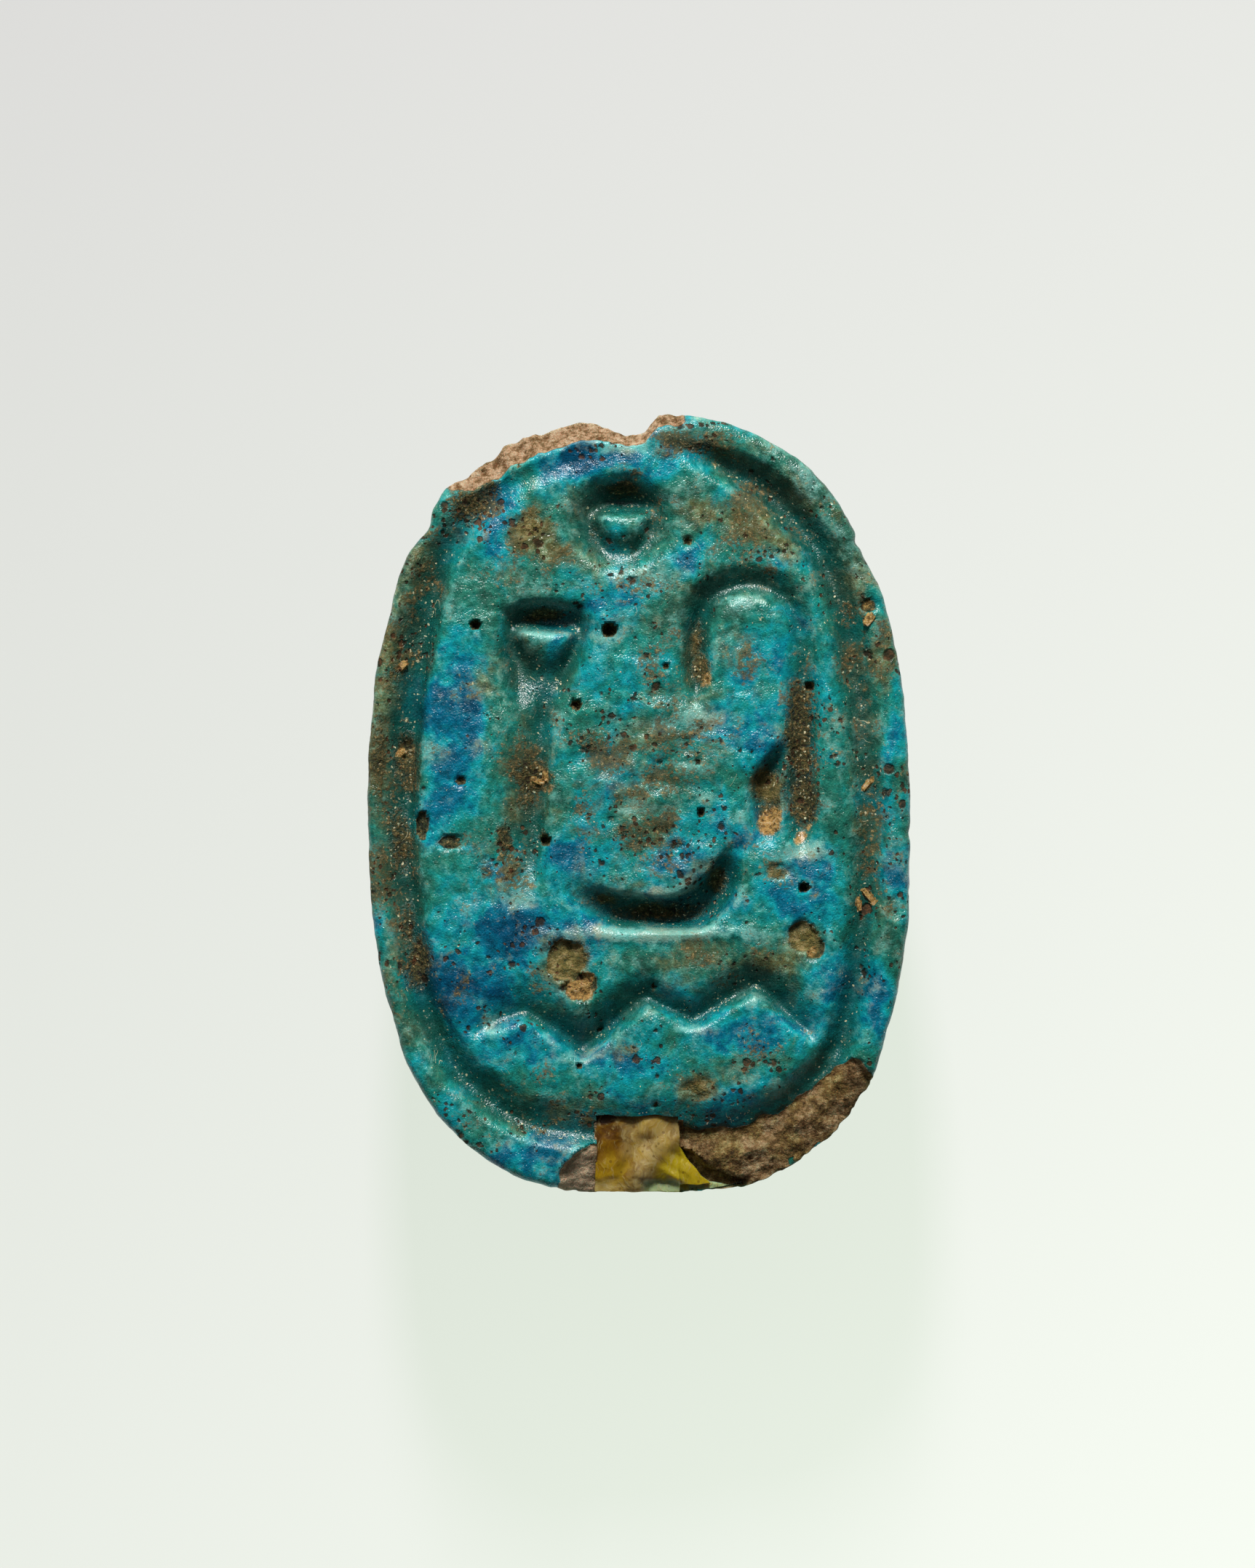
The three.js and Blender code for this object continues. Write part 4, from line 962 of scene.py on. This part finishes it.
def model_wax(detail):
    """The plug in its seat, its stem in the string hole, the broken lump beside it and the smear on the ledge."""
    plug = rough_block((-0.9, -7.96, 5.0), (0.83, -6.3, 6.46), 20, 0.02, 101)
    stem = lengthwise_rod(48, 0.72, 3.7, -5.65, 4.97)
    lump = rough_block((0, -7.8, 5.98), (1, -6.97, 6.42), 10, 0.03, 131)
    co = points_of(lump)
    co[:, 0] = 0.4 + co[:, 0] * (np.interp(co[:, 1], LUMP_Y, LUMP_X) - 0.4)
    co[:, 2] -= 0.12 * ease(0.8, 1.4, co[:, 0]) * (co[:, 2] > 6.2)
    set_points(lump, co)
    smear = rough_block((-0.2, -7.99, 5.9), (2.14, -7.74, 6.16), 14, 0.02, 151)
    co = points_of(smear)
    co[:, 1] = np.where(co[:, 1] > -7.86, co[:, 1] - 0.1 * ease(1.2, 2.1, co[:, 0]), co[:, 1])
    set_points(smear, co)
    wax = join_all([plug, stem, lump, smear], "wax")
    face_outward(wax)
    remesh(wax, detail)
    apply_modifier(wax, "SMOOTH", factor=0.5, iterations=2)
    co, no = points_of(wax), normals_of(wax)
    x, y, z = co.T
    upper = ease(6.0, 6.25, z)
    near, side, _ = nearest_on_path(x, y, SWIRL)
    swirl = bell(near, 0.23)
    trough = bell(near - 0.36, 0.13) * (side < 0)
    corner = ease(-6.62, -6.38, y) * ease(-0.2, -0.8, x)
    in_lump = ease(-0.08, 0.3, x - np.interp(y, [-7.8, -7.4, -6.95], [0.2, 0.3, 0.72])) * ease(-6.9, -7.05, y)
    ragged = y + 0.16 * layered_noise(x, y, z, 2.2, 193, 3)
    foot = ease(-7.55, -7.8, ragged) * ease(0.35, 0.1, x)
    thin = ease(-7.6, -7.76, ragged + 0.3 * np.abs(x - 0.4)) * ease(0.0, 0.2, x)
    crumple = np.abs(layered_noise(x, y, z, 0.9, 181, 2, 0.4))
    folds = in_lump * layered_noise(0.7 * x + y, 0.3 * (x - 0.7 * y), z, 4.0, 187, 2)
    taper = 0.3 + 0.7 * ease(-6.6, -7.0, y)
    raised = 0.12 * swirl * taper - 0.06 * trough * taper - 0.04 * corner - 0.12 * crumple + 0.05 * folds
    co[:, 2] += upper * (raised - 0.05 * foot - 0.08 * thin)
    co += no * ((0.006 + 0.014 * foot) * layered_noise(x, y, z, 4.0, 191, 3))[:, None]
    # nothing stands outside the oval
    bx, by, nx, ny = oval_edge(co[:, 0], co[:, 1])
    over = np.clip((gauge(co[:, 0], co[:, 1]) - 1) * (bx * nx + by * ny) + 0.03, 0, None)
    co[:, 0] -= nx * over
    co[:, 1] -= ny * over
    set_points(wax, np.clip(co, np.array(BODY_LOW) / MM, np.array(BODY_HIGH) / MM))
    on_top = ease(5.7, 6.1, z + 0.3 * layered_noise(x, y, z, 2.0, 199, 3))
    thin = np.maximum(thin * on_top, ease(6.2, 6.1, z) * ease(0.95, 1.1, x))
    veil = ease(-0.5, 0.1, x + 0.5 * layered_noise(x, y, z, 1.2, 197, 3)) * ease(-7.5, -7.1, y)
    pale = np.maximum(np.maximum(swirl * taper, 0.55 * veil) * (1 - in_lump), 0.9 * foot * on_top)
    # browner towards the upper left: partly the wax's own colour, partly painted shade under the seat's top edge
    brown = ease(0.1, -0.7, x) * ease(-7.45, -6.7, y) - 0.6 * ease(-7.1, -7.5, y) * ease(0.2, -0.2, x)
    store_fields(wax.data, dict(zip(WAX_FIELDS, (pale, in_lump * on_top, thin, brown))))
    return wax


# ---------------------------------------------------------------- nodes and finishes


def linear(hex_colour):
    """sRGB hex to the linear colour that a shader takes."""
    channels = [int(hex_colour[i : i + 2], 16) / 255 for i in (1, 3, 5)]
    return tuple(c / 12.92 if c <= 0.04045 else ((c + 0.055) / 1.055) ** 2.4 for c in channels) + (1.0,)


class Finish:
    """A new material and short ways to add to its tree. Lengths in it are in mm: noise of scale 2 has 0.5 mm features.

    Colours are named as in ScarabColours, and fields are the attributes painted on the piece.
    """

    def __init__(self, name, colours, fields=()):
        self.material = bpy.data.materials.new(name)
        self.material.use_nodes = True
        self.tree = self.material.node_tree
        self.tree.nodes.clear()
        self.colours = colours
        own = self.add("ShaderNodeTexCoord", out="Object")
        self.place = self.add("ShaderNodeVectorMath", {"operation": "SCALE"}, {0: own, "Scale": 1 / MM})
        self.field = {n: self.add("ShaderNodeAttribute", {"attribute_name": n}, out="Fac") for n in fields}

    def add(self, kind, settings=None, inputs=None, out=0):
        """Adds a node, sets what it has of its own, fills or links its inputs, and returns one of its outputs."""
        made = self.tree.nodes.new(kind)
        for key, value in (settings or {}).items():
            setattr(made, key, value)
        for key, value in (inputs or {}).items():
            if isinstance(value, bpy.types.NodeSocket):
                self.tree.links.new(value, made.inputs[key])
            else:
                made.inputs[key].default_value = value
        return made.outputs[out] if made.outputs else made

    def tone(self, colour):
        """A named colour's value; an output stays as it is."""
        return tuple(getattr(self.colours, colour)) if isinstance(colour, str) else colour

    def math(self, operation, *values):
        return self.add("ShaderNodeMath", {"operation": operation}, dict(enumerate(values)))

    def build_up(self, base, *terms):
        """The base with each (value, share) added to it in turn."""
        for value, share in terms:
            base = self.math("MULTIPLY_ADD", value, share, base)
        return base

    def spread(self, value, low, high, to_low=0.0, to_high=1.0, soft=True):
        """A value's range low to high run out to another range, and held at its ends."""
        kind = {"interpolation_type": "SMOOTHSTEP" if soft else "LINEAR"}
        return self.add("ShaderNodeMapRange", kind, {0: value, 1: low, 2: high, 3: to_low, 4: to_high})

    def noise(self, place, scale, detail=2.0, roughness=0.5, distortion=0.0, out=0):
        inputs = {"Scale": scale, "Detail": detail, "Roughness": roughness, "Distortion": distortion}
        return self.add("ShaderNodeTexNoise", {}, {"Vector": place, **inputs}, out=out)

    def warped(self, scale, reach, detail=2.0):
        """The place, pushed about by a noise."""
        inputs = {0: self.noise(self.place, scale, detail, out="Color"), 1: (reach,) * 3, 2: self.place}
        return self.add("ShaderNodeVectorMath", {"operation": "MULTIPLY_ADD"}, inputs)

    def cells(self, place, scale):
        """Distance to the nearest of scattered points."""
        return self.add("ShaderNodeTexVoronoi", {}, {"Vector": place, "Scale": scale}, out="Distance")

    def pick(self, near):
        """A random value that each of the scattered points has."""
        return self.add("ShaderNodeSeparateColor", {}, {0: near.node.outputs["Color"]})

    def ramp(self, value, *stops):
        """Named colours at places along a value."""
        out = self.add("ShaderNodeValToRGB", {}, {0: value})
        elements = out.node.color_ramp.elements
        while len(elements) < len(stops):
            elements.new(0.5)
        for element, (position, colour) in zip(elements, stops):
            element.position, element.color = position, self.tone(colour)
        return out

    def mix(self, share, under, over, blend="MIX"):
        settings = {"data_type": "RGBA", "blend_type": blend}
        return self.add("ShaderNodeMix", settings, {0: share, 6: self.tone(under), 7: self.tone(over)}, out=2)

    def close(self, height, **inputs):
        """Ends the tree with a shader over a bump of this height in mm."""
        inputs = {key.replace("_", " "): value for key, value in inputs.items()}
        inputs["Subsurface Scale"] = MM
        inputs["Normal"] = self.add("ShaderNodeBump", {}, {"Height": height, "Distance": MM})
        shader = self.add("ShaderNodeBsdfPrincipled", {}, inputs)
        self.add("ShaderNodeOutputMaterial", {}, {"Surface": shader})
        return self.material


def glazed_composition(colours):
    """Glazed composition: a paste of ground quartz under a copper-blue alkaline glaze, fired, worn and once buried.

    The glaze breaks into blue and turquoise clouds, pools green and dark in the hollows, thins to milky on the
    lips, and is pricked by brown burst bubbles. The dark in the hollows is partly painted shade, and the paleness
    of lit lips and slopes is partly painted highlight. Where it has flaked off, the sandy buff body shows.
    """
    f = Finish("fired_quartz_glaze", colours, FIELDS)
    place, field = f.place, f.field
    warped = f.warped(1.1, 0.8)
    cloud = f.noise(warped, 0.8, 8.0, 0.66)
    patch = f.noise(warped, 1.7, 6.0, 0.65)
    fleck = f.noise(place, 5.5, 4.0, 0.7)
    grit = f.noise(place, 12.0, 3.0, 0.7)

    # clouds of 0.5 to 1.5 mm, from green through turquoise to deep blue
    greens = (0.28, "dull_green"), (0.4, "green_glaze"), (0.48, "turquoise_glaze")
    blues = (0.56, "bright_glaze"), (0.64, "blue_glaze"), (0.76, "deep_glaze")
    glaze = f.ramp(f.build_up(cloud, (field["hue"], 0.25)), *greens, *blues)
    glaze = f.mix(1.0, glaze, f.spread(fleck, 0.3, 0.7, 0.5, 1.45, soft=False), "MULTIPLY")

    # milky, thin glaze in patches, more on the lips of the carving, partly painted highlight on lit lips and slopes
    thin = f.build_up(patch, (field["lip"], 0.06), (field["milky"], 0.3), (fleck, 0.5), (field["hue"], -0.08))
    pale = f.ramp(cloud, (0.46, "milky_glaze"), (0.6, "cream_glaze"))
    glaze = f.mix(f.spread(thin, 0.76, 1.06, 0.0, 0.66), glaze, pale)

    # an olive and cream stain under the gloss, where the glaze is thin over the body
    stained = f.noise(warped, 1.3, 9.0, 0.7, 0.4)
    stained = f.build_up(stained, (field["grime"], 0.16), (field["ochre"], 0.3), (field["hue"], -0.1))
    tones = f.ramp(fleck, (0.36, "olive_soil"), (0.5, "ochre_soil"), (0.6, "stain"), (0.7, "cream_glaze"))
    glaze = f.mix(f.spread(stained, 0.53, 0.8, 0.0, 0.75), glaze, tones)

    # glaze pooled in the hollows, darker the deeper they are: partly thick glaze, partly painted shade
    glaze = f.mix(f.spread(field["hollow"], 0.1, 0.95, 0.0, 0.78), glaze, "pooled_glaze")

    # fine brown grime that films the glaze, thickest in the worn middle and along the rims
    grime = f.spread(f.build_up(patch, (field["grime"], 0.3), (grit, 0.6), (fleck, 0.3)), 1.08, 1.24, 0.0, 0.85)
    soil = f.ramp(grit, (0.4, "dark_soil"), (0.5, "olive_soil"), (0.58, "brown_soil"), (0.68, "pale_soil"))
    ochre = f.ramp(fleck, (0.36, "olive_soil"), (0.5, "ochre_soil"), (0.64, "pale_soil"))
    soil = f.mix(field["ochre"], soil, ochre)
    skin = f.mix(grime, glaze, soil)

    # soil packed in hollows and pits, and sand stuck in it; in the darkest hollows the soil is also painted shade
    soil_and_shade = f.spread(f.build_up(field["soil"], (grit, 0.5), (patch, 0.5)), 0.85, 1.3, 0.0, 0.95)
    skin = f.mix(soil_and_shade, skin, soil)
    sand = f.ramp(grit, (0.35, "brown_soil"), (0.55, "sand"), (0.75, "pale_body"))
    skin = f.mix(f.spread(f.math("ADD", field["sand"], fleck), 0.85, 1.15), skin, sand)

    # burst bubbles of 0.05 to 0.2 mm, in flocks
    flock = f.build_up(f.noise(place, 0.8), (field["grime"], 0.18))
    flock = f.spread(flock, 0.4, 0.72, 0.2, 1.0, soft=False)
    ragged = f.warped(9.0, 0.12)
    specks = 0.0
    for scale, wide in ((2.1, 0.24), (4.4, 0.3), (7.5, 0.36)):
        near = f.cells(ragged, scale)
        reach = f.math("MULTIPLY_ADD", f.math("MULTIPLY", f.pick(near), flock), wide * 1.8, -wide * 0.5)
        specks = f.math("MAXIMUM", f.spread(f.math("SUBTRACT", near, reach), 0.08, -0.05), specks)
    rust = f.ramp(fleck, (0.46, "dark_soil"), (0.62, "rust"))
    skin = f.mix(f.math("MULTIPLY", specks, 0.9), skin, rust)

    # pale dust caught in the hollows, drawn at 0.04 mm so that it shows
    near = f.cells(ragged, 13.0)
    pick = f.pick(near)
    dusty = f.build_up(pick, (field["hollow"], 0.35), (field["grime"], 0.12))
    mote = f.math("LESS_THAN", near, f.spread(dusty, 0.72, 1.3, 0.0, 0.32, soft=False))
    strength = f.spread(pick.node.outputs["Green"], 0.0, 1.0, 0.2, 1.0, soft=False)
    skin = f.mix(f.math("MULTIPLY", strength, mote), skin, "dust")

    # lint: short curly threads 0.02 mm thick, here and there
    thread = f.math("COMPARE", f.noise(place, 1.6, 1.5, distortion=0.6), 0.5, 0.0026)
    near = f.cells(place, 1.5)
    reach = f.spread(f.build_up(f.pick(near), (field["hollow"], 0.12)), 0.6, 1.1, 0.0, 0.36, soft=False)
    thread = f.math("MULTIPLY", thread, f.math("LESS_THAN", near, reach))
    skin = f.mix(f.math("MULTIPLY", thread, 0.7), skin, "dust")

    # the bare body: buff at the head end, olive brown and sooty by the wax, paler on the wax's left, partly its own
    # colour and partly painted light that lifts the shade of that sloping broken face
    along = f.add("ShaderNodeSeparateXYZ", {}, {0: place}, out="Y")
    tailward = f.spread(along, 3.0, -3.0)
    left = f.spread(along.node.outputs["X"], -0.7, -1.1, 0.0, 0.6)
    grain = f.noise(place, 4.5, 7.0, 0.8)
    buff = f.ramp(grain, (0.36, "rust"), (0.43, "brown_soil"), (0.51, "body"), (0.68, "pale_body"))
    olive = f.ramp(grain, (0.36, "dark_soil"), (0.44, "brown_soil"), (0.52, "olive_body"), (0.62, "pale_soil"))
    away = f.spread(f.noise(place, 1.4, 4.0, 0.6), 0.42, 0.6, 0.0, 0.5)
    olive = f.mix(f.math("MAXIMUM", away, left), olive, buff)
    body = f.mix(tailward, buff, olive)
    # painted light: the body on the wax's left is lightened towards pale body to lift the shade on its slope
    body = f.mix(f.math("MULTIPLY", left, tailward), body, "pale_body")
    flaked = f.spread(f.build_up(field["bare"], (fleck, 0.35)), 0.6, 0.75)
    skin = f.mix(flaked, skin, body)

    # glaze is glossy, soil and body are matt
    matt = soil_and_shade
    for dull in (flaked, specks, grime):
        matt = f.math("MAXIMUM", matt, dull)
    gloss = f.spread(grit, 0.3, 0.7, 0.16, 0.34, soft=False)
    rough = f.math("MAXIMUM", f.math("MULTIPLY", matt, 0.9), gloss)
    shine = f.spread(matt, 0.0, 0.5, 0.42, 0.14, soft=False)

    # orange peel, pitting, grit and glitter, in mm
    coarse = f.build_up(0.016, (flaked, 0.12))
    packed = f.math("MULTIPLY", soil_and_shade, grit)
    glitter = f.noise(place, 26.0, 1.0)
    peel = f.math("MULTIPLY", grit, 0.012)
    height = f.build_up(peel, (fleck, coarse), (specks, -0.035), (mote, 0.01), (packed, 0.06), (glitter, 0.013))
    under = {"Subsurface_Weight": 0.45, "Subsurface_Radius": (0.12, 0.3, 0.32)}
    return f.close(height, Base_Color=skin, Roughness=rough, IOR=1.5, Specular_IOR_Level=shine, **under)


def old_wax(colours):
    """Old wax, pressed in warm and gone hard: cloudy amber and olive, scratched, with a dull waxy gloss."""
    f = Finish("old_wax", colours, WAX_FIELDS)
    field = f.field
    warped = f.warped(1.6, 0.9, 3.0)
    cloud = f.noise(warped, 1.6, 6.0, 0.62)
    # the brown field darkens the upper left, partly as the wax's colour and partly as painted shade
    browned = f.build_up(cloud, (field["brown"], -0.14))
    wax = f.ramp(browned, (0.34, "dark_wax"), (0.48, "amber_wax"), (0.6, "yellow_wax"))
    wax = f.mix(f.math("MULTIPLY", field["yellow"], 0.85), wax, "lemon_wax")
    streak = f.spread(f.noise(warped, 4.0, 4.0, distortion=1.5), 0.35, 0.65, 0.35, 0.95, soft=False)
    wax = f.mix(f.math("MULTIPLY", field["pale"], streak), wax, "cloudy_wax")
    wax = f.mix(field["green"], wax, "pale_wax")
    # fine scratches and drag lines, 0.03 to 0.1 mm apart
    drag = {"Vector": warped, "Rotation": (0.0, 0.0, 0.6), "Scale": (14.0, 2.0, 6.0)}
    lines = f.noise(f.add("ShaderNodeMapping", {}, drag), 1.0, 4.0)
    wax = f.mix(f.spread(lines, 0.55, 0.66, 0.0, 0.6, soft=False), wax, "cloudy_wax")
    # pores and dust, 0.05 mm
    wax = f.mix(f.spread(f.cells(f.place, 5.5), 0.2, 0.14, 0.0, 0.5, soft=False), wax, "dark_wax")
    rough = f.spread(lines, 0.3, 0.7, 0.3, 0.5, soft=False)
    height = f.build_up(f.math("MULTIPLY", lines, 0.018), (cloud, 0.03))
    under = {"Subsurface_Weight": 0.4, "Subsurface_Radius": (0.5, 0.3, 0.06)}
    return f.close(height, Base_Color=wax, Roughness=rough, IOR=1.44, Specular_IOR_Level=0.26, **under)


def glowing_floor(colours):
    """Pale opal sheet that glows by itself, as painted light, and is also lit from above: cast shadows stay faint and
    slightly green.
    """
    f = Finish("opal_sheet", colours)
    x = f.add("ShaderNodeSeparateXYZ", {}, {0: f.place}, out="X")
    # painted light: the floor's own glow is brighter towards the right and towards the bottom
    across = f.spread(x, -13.5, 13.5, 0.93, 1.075, soft=False)
    down = f.spread(x.node.outputs["Y"], 18.0, -18.0, 0.862, 1.16, soft=False)
    power = f.math("MULTIPLY", f.math("MULTIPLY", across, down), 0.735)
    glow = f.add("ShaderNodeEmission", {}, {"Color": f.tone("floor_glow"), "Strength": power})
    sheet = f.add("ShaderNodeBsdfDiffuse", {}, {"Color": f.tone("floor")})
    both = f.add("ShaderNodeAddShader", {}, {0: glow, 1: sheet})
    f.add("ShaderNodeOutputMaterial", {}, {"Surface": both})
    return f.material


# ---------------------------------------------------------------- sizes and colours that a user would change


def length_prop(name, description, millimetres):
    return bpy.props.FloatProperty(
        name=name, description=description, default=millimetres * MM, min=0.0, unit="LENGTH", precision=6
    )


def colour_prop(name, description, hex_colour):
    return bpy.props.FloatVectorProperty(
        name=name, description=description, default=linear(hex_colour), size=4, min=0.0, max=1.0, subtype="COLOR"
    )


class ScarabSizes(bpy.types.PropertyGroup):
    """Sizes of the amulet's finer forms."""

    carving: bpy.props.FloatProperty(
        name="Carving Depth",
        description="Depth of the seal face's relief, where 1 is as made",
        default=1.0,
        min=0.0,
        subtype="FACTOR",
    )
    bore: length_prop("String Hole", "Radius of the hole through the length of the plate", BORE_RADIUS)
    paste: length_prop("Paste Detail", "Size of the finest form kept in the beetle's body", BEETLE_VOXEL)
    wax_detail: length_prop("Wax Detail", "Size of the finest form kept in the wax", 0.04)


class ScarabColours(bpy.types.PropertyGroup):
    """Colours of the glaze, the body, the soil, the wax and the floor."""

    deep_glaze: colour_prop("Deep Glaze", "Deepest blue of the glaze", "#004A68")
    blue_glaze: colour_prop("Blue Glaze", "Blue of the glaze", "#006C86")
    bright_glaze: colour_prop("Bright Glaze", "Clear turquoise blue of the glaze", "#0B949C")
    turquoise_glaze: colour_prop("Turquoise Glaze", "Green turquoise of the glaze", "#14827A")
    green_glaze: colour_prop("Green Glaze", "Green of the glaze", "#20705F")
    dull_green: colour_prop("Dull Green", "Greenest, dullest glaze", "#2C5E4E")
    # these two pale glazes also paint the highlights on lit lips and slopes
    milky_glaze: colour_prop("Milky Glaze", "Thin glaze on lips", "#86C6BD")
    cream_glaze: colour_prop("Cream Glaze", "Thinnest glaze, with the body showing through", "#A9AE8C")
    # thick glaze and painted shade: the hollows darken towards this colour with their depth
    pooled_glaze: colour_prop("Pooled Glaze", "Thick glaze in the hollows", "#0B3F39")
    dark_soil: colour_prop("Dark Soil", "Soil in shadow, and burst bubbles", "#2A2014")
    ochre_soil: colour_prop("Ochre Soil", "Ochre fill of the broken pits", "#6E6232")
    olive_soil: colour_prop("Olive Soil", "Thin film of soil over glaze", "#484A2C")
    brown_soil: colour_prop("Brown Soil", "Soil in the hollows", "#594527")
    pale_soil: colour_prop("Pale Soil", "Dry soil", "#9A8A5C")
    stain: colour_prop("Stain", "Stain in thin glaze", "#7C8A62")
    rust: colour_prop("Rust", "Rusty rims of burst bubbles", "#5C3A22")
    sand: colour_prop("Sand", "Sand stuck in two hollows", "#AD8A50")
    dust: colour_prop("Dust", "Pale dust in the hollows", "#D2CDA8")
    body: colour_prop("Body", "Bare body at the head end", "#94775A")
    pale_body: colour_prop("Pale Body", "Quartz grains in the bare body", "#BDAB90")
    olive_body: colour_prop("Olive Body", "Stained bare body by the wax", "#705A30")
    dark_wax: colour_prop("Dark Wax", "Wax gone brown", "#4E3008")
    amber_wax: colour_prop("Amber Wax", "Amber of the wax", "#76530C")
    yellow_wax: colour_prop("Yellow Wax", "Yellow of the wax", "#92740F")
    lemon_wax: colour_prop("Lemon Wax", "Freshly broken lump", "#A08E16")
    cloudy_wax: colour_prop("Cloudy Wax", "Pale swirl and scratches", "#A3925F")
    pale_wax: colour_prop("Pale Wax", "Thin pale wax", "#93A477")
    floor: colour_prop("Floor", "Floor lit from above", "#645767")
    # painted light: the floor gives off this glow itself, and no lamp is under it
    floor_glow: colour_prop("Floor Glow", "Light that comes through the floor", "#F6FFF1")


# ---------------------------------------------------------------- operators

# The stage, in metres: name, place, width, length, watts and colour of each lamp.
LAMPS = (
    ("key", (-0.006, 0.092, 0.075), 0.012, 0.03, 0.2, (1.0, 0.98, 0.95)),
    ("fill", (-0.03, 0.11, 0.12), 0.12, 0.12, 0.05, (0.95, 0.98, 1.0)),
)
LAMPS_LOOK_AT = (0, 0, 0.005)
CAMERA_PLACE = (-0.00023, 0.000408, 0.0956)
ROOM_COLOUR, ROOM_STRENGTH = (0.93, 0.97, 1.0, 1.0), 0.06
FEWEST_FACES = 1000  # a body with fewer lost its detail in a join


class SCARAB_OT_body(bpy.types.Operator):
    """Models the glazed body: plate with its carved seal face, beetle, and string hole."""

    bl_idname = "scarab.body"
    bl_label = "Glazed Body"

    def execute(self, context):
        sizes = context.scene.scarab_sizes
        body = model_plate()
        beetle = model_beetle(sizes.paste / MM)
        cut_or_join(body, beetle, "UNION")
        cut_or_join(body, model_grains(), "UNION")
        pierce(body, sizes.bore / MM)
        co = points_of(body)
        low, high = np.array(BODY_LOW) / MM, np.array(BODY_HIGH) / MM
        set_points(body, np.clip(co, low, high))
        set_down(body, "glazed_body")
        paint_fields(body)
        body.data.materials.clear()
        body.data.materials.append(glazed_composition(context.scene.scarab_colours))
        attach(body, "root")
        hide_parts("scarab_body")
        if len(body.data.polygons) < FEWEST_FACES:
            raise RuntimeError("the body was lost in a join")
        return {"FINISHED"}


class SCARAB_OT_wax(bpy.types.Operator):
    """Models the old wax that fills the string hole's broken mouth."""

    bl_idname = "scarab.wax"
    bl_label = "Old Wax"

    def execute(self, context):
        wax = model_wax(context.scene.scarab_sizes.wax_detail / MM)
        set_down(wax, "old_wax", 35.0)
        wax.data.materials.clear()
        wax.data.materials.append(old_wax(context.scene.scarab_colours))
        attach(wax, "root")
        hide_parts("wax_plug")
        return {"FINISHED"}


class SCARAB_OT_stage(bpy.types.Operator):
    """Sets the floor, the lights and the camera."""

    bl_idname = "scarab.stage"
    bl_label = "Stage"

    def execute(self, context):
        floor = new_shape(bpy.ops.mesh.primitive_plane_add, size=0.6)
        floor.name = "floor"
        floor.data.materials.append(glowing_floor(context.scene.scarab_colours))
        scene = context.scene
        scene.view_settings.view_transform = "Standard"
        scene.world = bpy.data.worlds.new("studio")
        scene.world.use_nodes = True
        background = scene.world.node_tree.nodes["Background"]
        background.inputs["Color"].default_value = ROOM_COLOUR
        background.inputs["Strength"].default_value = ROOM_STRENGTH
        for lamp in LAMPS:
            add_lamp(*lamp)
        camera = bpy.data.cameras.new("camera")
        camera.lens, camera.sensor_width, camera.clip_start, camera.clip_end = 100, 36, 0.001, 10
        stand = bpy.data.objects.new("camera", camera)
        stand.location = CAMERA_PLACE
        scene.collection.objects.link(stand)
        scene.camera = stand
        return {"FINISHED"}


def add_lamp(name, place, wide, tall, watts, colour):
    """A rectangular soft light that looks at the amulet's middle."""
    lamp = bpy.data.lights.new(name, "AREA")
    lamp.shape, lamp.size, lamp.size_y, lamp.energy, lamp.color = "RECTANGLE", wide, tall, watts, colour
    stand = bpy.data.objects.new(name, lamp)
    stand.location = place
    stand.rotation_euler = (Vector(LAMPS_LOOK_AT) - Vector(place)).to_track_quat("-Z", "Y").to_euler()
    bpy.context.scene.collection.objects.link(stand)


class SCARAB_PT_panel(bpy.types.Panel):
    """Lists the amulet's pieces, sizes and colours."""

    bl_label = "Scarab Amulet"
    bl_idname = "SCARAB_PT_panel"
    bl_space_type = "VIEW_3D"
    bl_region_type = "UI"
    bl_category = "Scarab"

    def draw(self, context):
        for step in STEPS:
            self.layout.operator(step.bl_idname)
        for group in (context.scene.scarab_sizes, context.scene.scarab_colours):
            box = self.layout.box()
            for name in group.__annotations__:
                box.prop(group, name)


STEPS = (SCARAB_OT_body, SCARAB_OT_wax, SCARAB_OT_stage)
CLASSES = (ScarabSizes, ScarabColours) + STEPS + (SCARAB_PT_panel,)


def register():
    for each in CLASSES:
        bpy.utils.register_class(each)
    bpy.types.Scene.scarab_sizes = bpy.props.PointerProperty(type=ScarabSizes)
    bpy.types.Scene.scarab_colours = bpy.props.PointerProperty(type=ScarabColours)


def unregister():
    del bpy.types.Scene.scarab_colours
    del bpy.types.Scene.scarab_sizes
    for each in reversed(CLASSES):
        bpy.utils.unregister_class(each)


def main():
    register()
    bpy.ops.scarab.stage()
    bpy.ops.scarab.body()
    bpy.ops.scarab.wax()


if __name__ == "__main__":
    main()
